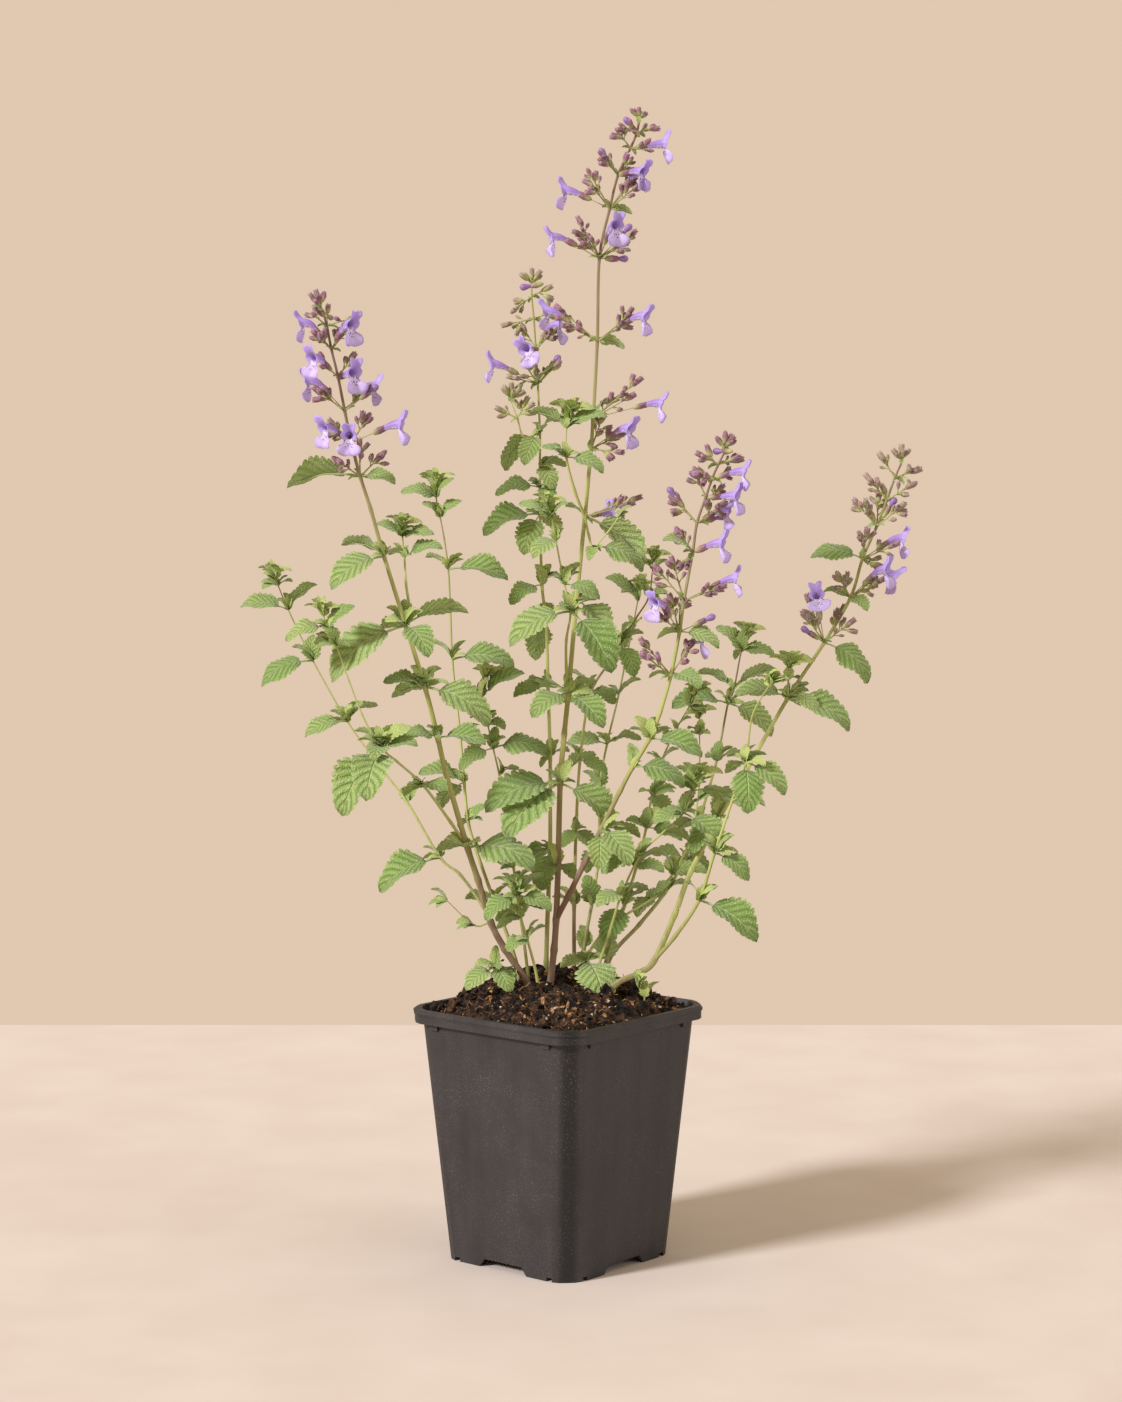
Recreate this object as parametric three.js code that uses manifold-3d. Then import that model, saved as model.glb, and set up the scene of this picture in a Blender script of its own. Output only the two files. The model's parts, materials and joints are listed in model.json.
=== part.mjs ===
// A catmint (Nepeta x faassenii) in flower, in a square black nursery pot filled with peat.
// Millimetres, +Z up, origin on the ground under the middle of the whole plant's box. The pot's sides
// lie along X and Y.
import * as THREE from 'three';
import { mergeVertices } from 'three/addons/utils/BufferGeometryUtils.js';
import Module from 'manifold-3d';

const wasm = await Module();
wasm.setup();
const { Vector3, MathUtils } = THREE;
const radians = MathUtils.degToRad;

// ---------------------------------------------------------------- driving dimensions
// Pot: a 1 litre square nursery pot, injection moulded.
const POT_HEIGHT = 125;
const RIM_SIDE = 110;
const RIM_CHAMFER = 10.4;
const RIM_BAND = 6.5;
const RIM_ROUND = 1.2;
const BODY_TOP_SIDE = 102;
const BODY_FOOT_SIDE = 83.4;
const BODY_CHAMFER = 8.4;
const CHAMFER_BEVEL = 2.4;
const WALL = 1.6;
const FLOOR_Z = 4;
const FLOOR_THICK = 1.8;
const FOOT_SLOT = { width: 30, height: 4.2, slope: 3 };
const FOOT_NOTCH = { width: 3.2, height: 2, inset: 9 };
const DRAIN_HOLE_RADIUS = 4.5;
const LUG = { length: 5, height: 3, depth: 1.2 };

// Soil: peat heaped over the rim towards the middle.
const SOIL_EDGE_Z = 120;
const SOIL_HEAP = 15;
const SOIL_CRUMB = 2.2;
const SOIL_CELLS = 9;

// Plant
const PLANT_TURN = radians(40.1);
const ROOT_Z = 112;
const GAP = 0.3;
const COLLAR_HEIGHT = 1.8;
const CROWDED_SIDE = 0.45;
const BLADE_THICK = 0.7;
const PETIOLE = { share: 0.22, halfWidth: 0.6, thick: 0.9 };
const LEAF = { halfWidth: 0.37, arch: 0.11, fold: 0.2, faceLean: 0.55 };
const SMALL_LEAF = { halfWidth: 0.27, widest: 0.55 };
const STALK_FROM = 18;
const TOOTHED_FROM = 14;
const WALLED_FROM = 26;
const LENS_THICK = 1.3;
const SHORTEST_STALK = 1.6;
const CALYX = { length: 7, radius: 1.75, mouth: 1.3, spread: 0.9, shrink: 0.3 };
const MOST_SIDE_CALYCES = 2;
const BUD = { length: 9.5, radius: 1.6 };
const COROLLA = { tube: 6, neck: 0.8, throat: 2.3, lipThick: 0.75 };
const PEDUNCLE_RADIUS = 0.55;
// The lips' outlines: to the right and out from the throat, and how far they lean forward.
const UPPER_LIP = [[-3, 4.2], [0, 6.6], [3, 4.2]];
const LOWER_LIP = [[4.5, 5.2], [2.7, 8.2], [-2.7, 8.2], [-4.5, 5.2]];
const LIP_FORWARD = 0.5;

// Growing aside: degrees of yaw and pitch, sizes, and the shared volume that counts as crossing.
const YAWS = [0, 15, -15, 30, -30, 45, -45, 60, -60];
const PITCHES = [0, 14, -14, 28, -28, 42];
const SIZES = [1, 0.8, 1.2, 0.6];
const TOUCH = 0.0005;

// ---------------------------------------------------------------- how the plant is written down
// Places are x to the right, y away and z up, before the plant is turned in its pot. A growth's
// numbers reach from the joint that carries it to its tip.
const leaf = (x, y, z) => ({ kind: 'leaf', reach: new Vector3(x, y, z) });
const flower = (x, y, z) => ({ kind: 'flower', reach: new Vector3(x, y, z) });
const bud = (x, y, z) => ({ kind: 'bud', reach: new Vector3(x, y, z) });
const cyme = (x, y, z, count) => ({ kind: 'cyme', reach: new Vector3(x, y, z), count });

// A rosette's leaves: crosswise pairs that close over the growing tip.
const rosette = (count, length) => Array.from({ length: count }, (_, k) => {
  const rise = radians(12 + (56 * k) / count);
  const round = (Math.PI / 2) * Math.floor(k / 2) + Math.PI * (k % 2);
  const reach = new Vector3(Math.cos(round) * Math.cos(rise), Math.sin(round) * Math.cos(rise), Math.sin(rise));
  return { kind: 'leaf', reach: reach.multiplyScalar(length * (1 - (0.4 * k) / count)) };
});
const shoot = (foot, top, joints) => ({ kind: 'shoot', foot, top, joints });
const at = (x, y, z, ...grows) => {
  const place = new Vector3(x, y, z);
  const toShoot = (g) => (g.kind === 'shoot' ? { ...g, reach: g.joints[0].place.clone().sub(place) } : g);
  return { place, grows: grows.flat().map(toShoot) };
};
const stem = (name, foot, top, joints) => ({ name, foot, top, joints });

const STEMS = [
  stem('stem_left', 2.3, 1.0, [
    at(-14, -4, 134),
    at(-26, -8, 154),
    at(-33, -10, 168,
      shoot(1.1, 0.5, [
        at(-37, -10, 176),
        at(-48, -2, 190),
        at(-58, 2, 198, leaf(-30, -6, -15), leaf(5, 8, 6)),
        at(-74, 8, 224, leaf(2, 10, 10)),
        at(-88, 11, 242),
        at(-104, 14, 264, leaf(-21, -4, -6), leaf(13, 10, 9), leaf(6, -8, 13)),
        at(-121, 16, 294, leaf(-26, -5, -9), leaf(7, 10, 10), leaf(-4, -8, 11)),
        at(-133, 17, 319, leaf(-23, -3, 3), leaf(13, 6, 13)),
        at(-138, 18, 331, leaf(-7, -8, -1), leaf(6, 8, 2)),
        at(-140, 18, 337, rosette(5, 9)),
      ]),
      shoot(0.6, 0.4, [
        at(-41, -14, 167, leaf(-5, -2, -1)),
        at(-54, -20, 180, leaf(-5, -3, -3), leaf(-3, 3, 3)),
      ])),
    at(-39, -13, 189),
    at(-44, -15, 205, leaf(32, -16, -3), leaf(-15, -4, 7),
      shoot(1.0, 0.5, [
        at(-52, -19, 218),
        at(-65, -27, 237, leaf(-9, -5, -4), leaf(11, -14, 0)),
        at(-77, -34, 249),
        at(-84, -38, 256, leaf(-19, -14, -30), leaf(-5, -20, -27), leaf(-15, -4, 2), leaf(17, -6, 3),
          leaf(12, -10, -7), rosette(6, 15)),
        at(-93, -42, 272),
        at(-105, -44, 305, leaf(-8, -8, 1), leaf(-12, 8, 5)),
        at(-109, -44, 314, leaf(-20, -4, -4), leaf(12, -2, 11)),
        at(-112, -44, 322, rosette(5, 9)),
      ])),
    at(-54, -19, 241),
    at(-58, -21, 259, leaf(23, -12, -1), leaf(-16, -8, 3)),
    at(-64, -24, 284, leaf(32, -10, -15), leaf(-19, -5, 5), leaf(-14, -9, -4), leaf(7, 7, 9)),
    at(-73, -27, 314, leaf(-41, -10, -14), leaf(29, 8, 8), leaf(12, -18, -12), leaf(-13, 8, 7),
      shoot(1.0, 0.5, [
        at(-71, -26, 320),
        at(-73, -20, 333),
        at(-74, -16, 346, leaf(18, -6, 6), leaf(-8, 10, 2), leaf(5, -9, -4), leaf(-3, 8, -9)),
        at(-75, -14, 356, leaf(-8, -3, 12), leaf(14, -4, 6), leaf(5, -9, 0), leaf(-5, 8, 3)),
        at(-75, -14, 361, rosette(5, 10)),
      ])),
    at(-83, -30, 347, leaf(-25, -12, -13), leaf(-20, 9, 7), leaf(8, 9, 3)),
    at(-89, -32, 369),
    at(-94, -33, 385, leaf(-34, -8, -4), leaf(17, -6, -2), cyme(-7, -2, 5, 3), cyme(7, 2, 7, 3),
      cyme(1, -4, 10, 2)),
    at(-98, -34, 401, cyme(-6, 3, 6, 3), cyme(5, 3, 8, 3), flower(-10, -9, 8), flower(14, -8, 4),
      flower(21, 2, 9), bud(-16, -3, -3)),
    at(-101, -35, 416, cyme(-9, -2, 7, 3), cyme(8, -2, 7, 4), flower(-20, 2, 7), flower(14, 5, 10),
      bud(18, -4, 12)),
    at(-104, -36, 432, cyme(-6, 2, 5, 3), cyme(4, 4, 6, 2), flower(6, -8, 4), flower(-15, -5, 6)),
    at(-107, -37, 445, cyme(-4, -3, 4, 4), cyme(5, 2, 6, 4), flower(-16, 1, 7), flower(13, -3, 2)),
    at(-109, -38, 456, cyme(-5, 0, 4, 3), cyme(7, -3, 2, 3), cyme(0, 5, 5, 2)),
    at(-111, -38, 463, cyme(-1, 0, 3, 5)),
  ]),
  stem('stem_centre_left', 1.7, 0.8, [
    at(-6, 20, 143),
    at(-5, 20, 174),
    at(-4, 21, 200, leaf(-9, 8, -11), leaf(-5, -9, -19)),
    at(-4, 22, 224),
    at(-4, 22, 246, leaf(-9, -8, 7), leaf(-5, 7, -5), leaf(9, 10, 2)),
    at(-5, 22, 281, leaf(-17, -7, -4), leaf(-11, 8, 6)),
    at(-6, 23, 313, leaf(-6, 9, -19), leaf(-6, 6, -11)),
    at(-8, 24, 331, leaf(-16, -10, -7), leaf(8, 9, 5)),
    at(-9, 25, 366, leaf(-28, -9, -9), leaf(-8, -11, -19), leaf(10, 8, -9)),
    at(-9, 25, 379, leaf(-22, -3, -1), leaf(7, -9, -6)),
    at(-9, 25, 390, leaf(13, 5, 1), leaf(7, -8, -11)),
    at(-9, 25, 406, leaf(-25, -4, -4), leaf(10, 9, 9), leaf(-10, -11, -12),
      shoot(0.7, 0.5, [
        at(-17, 22, 404),
        at(-20, 19, 413, cyme(2, 1, 4, 2), cyme(-4, -1, 2, 1)),
        at(-23, 18, 421, cyme(0, 0, 2, 5)),
      ])),
    at(-10, 25, 430, cyme(-8, -2, 2, 2), cyme(6, -3, 6, 2), cyme(-4, -5, 6, 2), flower(-20, -2, 10),
      bud(14, 1, 11), leaf(14, -2, -1)),
    at(-11, 26, 447, cyme(-4, 3, 7, 2), cyme(6, -2, 6, 4), flower(-6, -7, 0), flower(13, -7, 4)),
    at(-12, 26, 462, cyme(-9, 0, -2, 2), cyme(6, 1, 2, 3)),
    at(-13, 26, 473, cyme(-5, 0, -4, 2), cyme(4, 1, 2, 2)),
    at(-13, 26, 478, cyme(0, 0, 2, 5), bud(-6, 0, -1)),
  ]),
  stem('stem_centre', 2.4, 1.0, [
    at(-4, -2, 134),
    at(-2, -2, 153),
    at(-1, -2, 168,
      shoot(1.8, 0.9, [
        at(5, -5, 180),
        at(13, -9, 197),
        at(21, -13, 214, leaf(-1, -9, -18), leaf(19, 8, -4), leaf(14, -16, -14)),
        at(30, -17, 233),
        at(36, -20, 245, leaf(25, -8, -5), leaf(-1, 5, 11)),
        at(44, -24, 259, leaf(25, -9, -7), leaf(-9, 6, 5), leaf(9, 8, 10)),
        at(49, -26, 272),
        at(54, -28, 290, leaf(-10, 6, 0), cyme(-9, -4, 7, 4), cyme(-10, 3, 12, 3), cyme(7, -2, 11, 3),
          flower(14, -7, 15), leaf(16, -7, -11), leaf(3, -12, -16)),
        at(58, -31, 311, leaf(-13, 4, -4), cyme(-6, -3, 5, 2), cyme(-3, 3, 11, 3), cyme(5, 5, 8, 2),
          flower(-10, -9, 16), leaf(19, -5, -6), bud(17, -3, 8)),
        at(60, -33, 326, cyme(-10, -2, 12, 4), cyme(-4, 4, 14, 3), cyme(13, -3, 5, 5),
          flower(22, -2, 11)),
        at(64, -34, 349, cyme(-4, 2, 6, 4), cyme(-3, -3, -3, 2), flower(5, -8, 5), flower(12, -4, 2),
          leaf(-13, 6, -5)),
        at(66, -35, 363, cyme(-8, 3, 8, 3), cyme(8, -3, 6, 3), bud(-14, 0, 17), bud(14, 3, 7),
          flower(12, 1, -3)),
        at(70, -36, 375, cyme(-3, 3, 8, 3), cyme(5, 4, 2, 2), flower(12, -5, 1)),
        at(73, -37, 384, cyme(-3, -3, 1, 2), bud(-10, -1, 3), cyme(7, 3, 2, 4), flower(13, -2, 4)),
        at(76, -38, 391, cyme(-4, 0, 2, 3), cyme(5, 2, 1, 3)),
        at(79, -38, 397, cyme(0, 0, 2, 5), bud(-7, -2, 0)),
      ])),
    at(0, -1, 195, leaf(-12, -9, -8), leaf(8, 9, -7)),
    at(1, -1, 235, leaf(-36, -18, -9), leaf(-26, -25, -21), leaf(25, -10, -20), leaf(17, 10, 14)),
    at(3, 0, 259),
    at(5, 0, 279, leaf(-18, -13, -8), leaf(17, -13, -15), leaf(-12, 10, 8), leaf(10, 9, 7),
      shoot(1.0, 0.5, [
        at(4, -5, 292),
        at(4, -12, 306),
        at(6, -16, 320, leaf(-30, -8, -14), leaf(20, -14, -28), leaf(-8, -5, 6), leaf(12, 8, 6)),
        at(3, -17, 333, leaf(-5, -5, 4), leaf(7, 6, 6), leaf(17, -7, -5)),
        at(-1, -16, 354, leaf(3, 8, 6), leaf(-11, -12, -7)),
        at(-3, -16, 365, leaf(-15, -3, 8), leaf(7, -6, 8)),
        at(-5, -16, 372, rosette(5, 9)),
      ])),
    at(9, 1, 325, leaf(16, 8, -20)),
    at(13, 2, 365, cyme(17, -2, 5, 4), flower(27, -3, 10), leaf(37, 5, -5), leaf(-7, 9, 9),
      cyme(22, 5, 2, 2),
      shoot(0.9, 0.5, [
        at(8, -4, 378),
        at(4, -8, 394, leaf(18, -7, -6), leaf(-11, -4, 6), leaf(-6, -9, -2)),
        at(4, -8, 408, leaf(-17, 4, 9), leaf(19, -3, 7), leaf(9, -9, -2), leaf(-2, 7, 10)),
        at(6, -8, 416, rosette(6, 12)),
      ]),
      shoot(0.8, 0.5, [
        at(15, -3, 356),
        at(17, -8, 351, leaf(25, -4, -8), leaf(-2, -8, -6)),
        at(24, -10, 358),
        at(29, -12, 365, leaf(6, -4, 6)),
      ])),
    at(16, 3, 398, cyme(10, -4, 5, 5), cyme(4, 4, 11, 2), flower(18, -5, 11), cyme(11, -5, -1, 2)),
    at(17, 3, 413, cyme(14, -1, 8, 1), cyme(21, -2, 10, 4), cyme(9, 4, 7, 2), flower(28, -3, 15),
      leaf(15, 6, 6)),
    at(19, 4, 450, cyme(-10, 2, 6, 3), cyme(-15, 1, 13, 2), flower(-23, 1, 16), cyme(12, -2, 8, 5),
      cyme(16, -4, 3, 3), flower(22, -3, 13), leaf(12, -6, -2)),
    at(20, 4, 490, cyme(-6, 3, 7, 3), cyme(-11, -2, 12, 4), flower(-18, 1, 16), cyme(9, -2, 5, 4),
      cyme(13, 4, 10, 3), flower(6, -10, 16), bud(19, -2, 12), bud(14, -4, 0), cyme(-4, -4, 4, 2)),
    at(25, 5, 514, cyme(-7, 2, 9, 3), cyme(-12, -3, 11, 3), flower(-17, 0, 14), cyme(10, -3, 8, 4),
      cyme(13, 3, 5, 3), flower(20, -4, 10), leaf(11, 2, -2)),
    at(29, 5, 530, cyme(-6, -2, 7, 4), cyme(4, 3, 5, 3), flower(10, -7, 2), bud(-9, 1, 13)),
    at(35, 6, 543, cyme(-4, -2, 5, 3), cyme(6, -3, -1, 4), flower(14, 1, 2)),
    at(38, 6, 550, cyme(4, 1, 2, 4), cyme(-4, -1, 2, 3), bud(-9, 0, 4)),
    at(39, 6, 555, cyme(0, 0, 2, 5)),
  ]),
  stem('stem_right', 2.1, 1.0, [
    at(26, -12, 135),
    at(40, -11, 143),
    at(47, -10, 149,
      shoot(1.3, 0.6, [
        at(57, -16, 162),
        at(68, -26, 181, leaf(28, -9, -18), leaf(-5, 6, 9)),
        at(75, -34, 205, leaf(17, -6, -11), leaf(-5, -7, 6), leaf(6, 7, 3)),
        at(83, -41, 231, leaf(15, 4, -6)),
        at(89, -46, 250, leaf(1, -14, -21), leaf(19, -8, -13), leaf(-9, 7, -5), leaf(-2, 8, 6),
          leaf(8, -6, 4)),
        at(92, -50, 273),
        at(101, -52, 289, rosette(5, 8)),
      ])),
    at(57, -7, 171),
    at(65, -4, 192),
    at(78, 0, 216, leaf(-14, -7, -13), leaf(8, 8, 15)),
    at(92, 4, 240),
    at(113, 10, 276, leaf(31, -5, -13), leaf(13, -10, -8), leaf(-26, -7, 4), leaf(12, 7, 3),
      shoot(0.7, 0.4, [
        at(113, 7, 285, leaf(-6, -6, 0), leaf(8, 6, 1)),
        at(114, 6, 293, rosette(6, 12)),
      ])),
    at(131, 14, 303, leaf(23, -7, -16), cyme(-7, -2, 10, 5), cyme(-10, 2, 15, 3), flower(-14, 0, 18),
      bud(-13, -3, 8), cyme(9, -1, 7, 5), cyme(7, 4, 12, 2)),
    at(144, 17, 325, cyme(-4, -3, 7, 3), leaf(-10, -8, 4), cyme(10, -3, 6, 4), cyme(11, 3, -2, 3),
      flower(20, -3, 6), leaf(10, -8, -5)),
    at(150, 19, 344, leaf(-25, -4, 4), cyme(1, -4, 9, 3), cyme(11, -2, 5, 4), cyme(5, 4, -2, 2),
      flower(17, 2, 11), flower(11, -7, -3)),
    at(157, 20, 360, cyme(-7, -2, 8, 4), cyme(1, 4, 10, 3), cyme(8, -3, 7, 4), bud(-9, 0, 11),
      bud(15, 1, 8)),
    at(162, 21, 373, cyme(-6, 0, 7, 3), cyme(0, 5, 2, 2), cyme(8, -3, 5, 4)),
    at(166, 22, 384, cyme(-4, 0, 6, 3), cyme(6, 0, 2, 3)),
    at(169, 22, 391, cyme(0, 0, 2, 5)),
  ]),
  stem('stem_back_right', 1.4, 0.6, [
    at(25, 32, 141),
    at(41, 40, 159),
    at(54, 47, 174, leaf(-9, -8, -5), leaf(13, 9, 5)),
    at(64, 53, 190, leaf(-15, -7, 6), leaf(13, 9, -5)),
    at(72, 60, 210, leaf(-14, 9, -9), leaf(2, -11, -11)),
    at(81, 68, 239, leaf(-6, -9, 3), leaf(14, 10, 3)),
    at(87, 74, 268, leaf(-29, -12, 0), leaf(23, -8, -14), leaf(17, 11, 6)),
    at(90, 75, 275, leaf(22, 6, 11), leaf(-18, 8, 9)),
    at(94, 78, 295, leaf(-12, -3, 13), leaf(17, -4, -2), leaf(-3, 9, -4)),
    at(97, 79, 304, rosette(5, 10)),
  ]),
  stem('stem_back_centre', 1.5, 0.6, [
    at(8, 32, 141),
    at(8, 37, 169, leaf(-10, 9, 4), leaf(8, 8, 5)),
    at(9, 44, 206, leaf(-7, -8, -7), leaf(8, 9, -10)),
    at(11, 51, 241, leaf(9, 11, -6), leaf(-9, 12, 9)),
    at(16, 57, 273, leaf(-9, 9, 13), leaf(13, 12, -3), leaf(-14, 9, -3)),
    at(25, 60, 289, leaf(-9, 12, 7)),
    at(32, 62, 300, leaf(-3, -5, 16), leaf(9, 9, 5), leaf(7, -7, -16), leaf(-11, 11, 9)),
    at(40, 64, 313),
    at(46, 65, 323, leaf(6, -6, -2), leaf(-4, 9, 7)),
    at(48, 66, 337, leaf(-6, -3, 4), leaf(8, 2, 5)),
    at(49, 66, 343, rosette(5, 9)),
  ]),
  stem('stem_back_middle', 1.2, 0.5, [
    at(13, 46, 145, leaf(4, 9, 6)),
    at(17, 53, 167, leaf(-5, -5, 14), leaf(10, 9, 6)),
    at(21, 60, 194, leaf(-7, 9, -12), leaf(11, 8, -7)),
    at(21, 68, 224, leaf(-10, 9, -6), leaf(6, 10, 8)),
    at(25, 73, 247, leaf(-20, -8, 2), leaf(17, 8, 4)),
    at(31, 78, 272, leaf(9, 6, 11), leaf(-9, 10, -6)),
    at(38, 84, 305, leaf(-10, 9, -14)),
    at(41, 86, 320, leaf(-16, -6, 13), leaf(-8, 9, 5)),
    at(43, 86, 328, rosette(5, 8)),
  ]),
  stem('stem_mid_right', 1.2, 0.5, [
    at(24, 16, 144, leaf(3, 8, 15)),
    at(33, 22, 171, leaf(-8, -14, -18), leaf(10, 8, 11)),
    at(39, 26, 190, leaf(13, -9, -4), leaf(-12, 9, 4)),
    at(44, 31, 209, leaf(-10, -5, 5), leaf(18, -6, -4)),
    at(47, 35, 225, leaf(-6, -9, 4), leaf(8, 10, -11), leaf(10, 5, -3)),
    at(51, 38, 240, leaf(-6, 6, 6), leaf(9, 7, 8)),
    at(59, 42, 257, leaf(-4, 10, -7)),
    at(66, 45, 269, leaf(8, -6, -3), leaf(4, 6, 8)),
    at(70, 46, 277, leaf(7, -4, 0), rosette(4, 8)),
  ]),
  stem('stem_front_right', 1.1, 0.5, [
    at(19, 4, 139),
    at(25, 2, 160),
    at(31, -2, 180, leaf(-12, -12, -3), leaf(13, 8, 0)),
    at(40, -7, 200, leaf(-19, -9, -5), leaf(11, 7, 7)),
    at(51, -11, 212, leaf(13, 6, -4)),
    at(61, -14, 222, leaf(19, -8, -17), leaf(-15, -5, -4), leaf(11, 8, 9)),
    at(65, -16, 233, leaf(24, 4, -5), leaf(-8, -4, 5)),
    at(67, -17, 240, rosette(6, 13)),
  ]),
  stem('stem_right_inner', 1.0, 0.5, [
    at(14, 9, 146, leaf(-11, -9, -2), leaf(9, -28, -14)),
    at(27, 14, 163),
    at(47, 22, 175, leaf(-8, 9, -10), leaf(8, -6, 9)),
    at(57, 27, 186, leaf(17, -5, 3), leaf(-5, 7, 11)),
    at(66, 32, 203, leaf(5, 7, -11)),
    at(70, 36, 223, leaf(12, -4, 5)),
    at(71, 38, 237),
    at(71, 41, 255, leaf(-8, 8, -1), leaf(5, -6, 1)),
    at(71, 43, 266, rosette(5, 9)),
  ]),
  stem('stem_back_left', 1.2, 0.5, [
    at(-21, 14, 144),
    at(-32, 20, 174, leaf(-13, -5, 6), leaf(12, 9, -5)),
    at(-41, 25, 199, leaf(-9, 8, 8), leaf(16, 8, -10)),
    at(-45, 28, 213, leaf(7, -5, 2), leaf(-5, 7, -4)),
    at(-47, 31, 232, leaf(-22, -8, 6), leaf(-13, 9, -13)),
    at(-49, 34, 255, leaf(9, 11, -6)),
    at(-51, 36, 273),
    at(-53, 38, 293, leaf(31, -9, -1), leaf(-11, 9, 9)),
    at(-54, 40, 318),
    at(-55, 41, 338, leaf(30, -6, -4), leaf(-11, 9, 7)),
    at(-57, 42, 353),
    at(-59, 42, 364, leaf(-8, -4, 8), leaf(10, -3, 9)),
    at(-61, 42, 374, leaf(-17, -3, 4), leaf(8, -5, 10)),
    at(-61, 42, 382, rosette(5, 10)),
  ]),
  stem('stem_left_inner', 1.1, 0.5, [
    at(-15, 7, 139),
    at(-19, 8, 171, leaf(-10, 8, -9), leaf(12, 7, 1)),
    at(-22, 9, 192, leaf(-8, 8, 9), leaf(-6, -6, 1)),
    at(-25, 9, 216),
    at(-29, 10, 238, leaf(9, 8, 3)),
    at(-32, 10, 251, leaf(-17, -6, -8), leaf(-3, 6, 3), leaf(26, -9, 2)),
    at(-35, 11, 264, leaf(9, -8, -2), leaf(-8, 8, 3)),
    at(-38, 12, 276, leaf(21, -4, 13), leaf(-8, 8, 3)),
    at(-35, 12, 287, rosette(4, 9)),
  ]),
  stem('stem_low_front', 1.0, 0.6, [
    at(-10, -9, 138),
    at(-15, -14, 160, leaf(-10, -9, -3), leaf(9, 6, 6)),
    at(-18, -17, 171, leaf(-12, 4, -5), leaf(6, 6, 9)),
    at(-20, -19, 182, leaf(-16, -6, -9), leaf(14, 4, 8), leaf(17, -7, -5), leaf(-7, 7, 5)),
    at(-21, -20, 187, rosette(6, 12)),
  ]),
  stem('shoot_low_left', 0.8, 0.6, [
    at(-25, -4, 142, leaf(6, -8, -2)),
    at(-31, -7, 145, leaf(-14, -9, -9), leaf(4, 8, 2), leaf(9, -12, -6)),
  ]),
];

// ---------------------------------------------------------------- closed meshes
// A surface that grows ring by ring. A ring or loop is a list of point numbers that runs
// anticlockwise round the direction in which the piece goes on.
class Body {
  points = [];
  faces = [];

  ring(places) {
    this.points.push(...places);
    return places.map((_, k) => this.points.length - places.length + k);
  }

  quad(a, b, c, d) {
    this.faces.push([a, b, c], [a, c, d]);
  }

  // The band between two rings, without the sides where something grows on.
  band(low, high, open = []) {
    for (let k = 0; k < low.length; k++) {
      const next = (k + 1) % low.length;
      if (!open.includes(k)) this.quad(low[k], low[next], high[next], high[k]);
    }
  }

  point(low, place) {
    const [tip] = this.ring([place]);
    low.forEach((k, i) => this.faces.push([k, low[(i + 1) % low.length], tip]));
  }

  lid(ring) {
    for (let k = 1; k + 1 < ring.length; k++) this.faces.push([ring[0], ring[k], ring[k + 1]]);
  }

  geometry() {
    const geometry = new THREE.BufferGeometry();
    const numbers = this.points.flatMap((p) => [p.x, p.y, p.z]);
    geometry.setAttribute('position', new THREE.Float32BufferAttribute(numbers, 3));
    geometry.setIndex(this.faces.flat());
    return geometry;
  }
}

function skinned(rings) {
  const body = new Body();
  const loops = rings.map((ring) => body.ring(ring));
  body.lid(loops[0].toReversed());
  for (let i = 0; i + 1 < loops.length; i++) body.band(loops[i], loops[i + 1]);
  body.lid(loops.at(-1));
  return body.geometry();
}

// A closed mesh as a solid that can be joined and cut.
function solid(geometry) {
  geometry.deleteAttribute('normal');
  geometry.deleteAttribute('uv');
  const merged = mergeVertices(geometry, 1e-4);
  const vertProperties = new Float32Array(merged.getAttribute('position').array);
  const triVerts = new Uint32Array(merged.index.array);
  return new wasm.Manifold(new wasm.Mesh({ numProp: 3, vertProperties, triVerts }));
}

function geometryOf(manifold) {
  const { vertProperties, triVerts } = manifold.getMesh();
  const geometry = new THREE.BufferGeometry();
  geometry.setAttribute('position', new THREE.BufferAttribute(vertProperties, 3));
  geometry.setIndex(new THREE.BufferAttribute(triVerts, 1));
  return geometry;
}

// The two unit vectors square to a direction, nearest to a wished upright: to the right of one who
// looks back along the direction, and up.
function frameOf(direction, wish) {
  const right = wish.clone().cross(direction).normalize();
  return { right, up: direction.clone().cross(right).normalize() };
}
const uprightFor = (direction) => (Math.abs(direction.z) > 0.95 ? new Vector3(0, 1, 0) : new Vector3(0, 0, 1));

// Four corners round a middle: a square of the given half diagonal.
const CORNERS = [[-1, -1], [1, -1], [1, 1], [-1, 1]];
const squareRing = (middle, { right, up }, radius) => CORNERS.map(([r, u]) => middle.clone()
  .addScaledVector(right, r * radius * Math.SQRT1_2).addScaledVector(up, u * radius * Math.SQRT1_2));

// A loop of four points, begun at the one that lies lowest and furthest left in a frame.
function begun(body, loop, { right, up }) {
  const corner = right.clone().add(up);
  const heights = loop.map((k) => body.points[k].dot(corner));
  const first = heights.indexOf(Math.min(...heights));
  return loop.map((_, k) => loop[(first + k) % 4]);
}

// ---------------------------------------------------------------- pot
// A square with chamfered corners whose two edges are bevelled, at one height.
function potRing(side, chamfer, z) {
  const half = side / 2;
  const slant = CHAMFER_BEVEL * Math.SQRT1_2;
  const corner = [
    [half, half - chamfer - CHAMFER_BEVEL], [half - slant, half - chamfer + slant],
    [half - chamfer + slant, half - slant], [half - chamfer - CHAMFER_BEVEL, half],
  ];
  return [0, 1, 2, 3].flatMap((quarter) => corner.map(([x, y]) =>
    new Vector3(x, y, z).applyAxisAngle(new Vector3(0, 0, 1), (quarter * Math.PI) / 2)));
}

const sideAt = (z) => MathUtils.lerp(BODY_FOOT_SIDE, BODY_TOP_SIDE, z / (POT_HEIGHT - RIM_BAND));

function box(width, depth, height, x, y, z) {
  const geometry = new THREE.BoxGeometry(width, depth, height);
  geometry.translate(x, y, z + height / 2);
  return solid(geometry);
}

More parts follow.
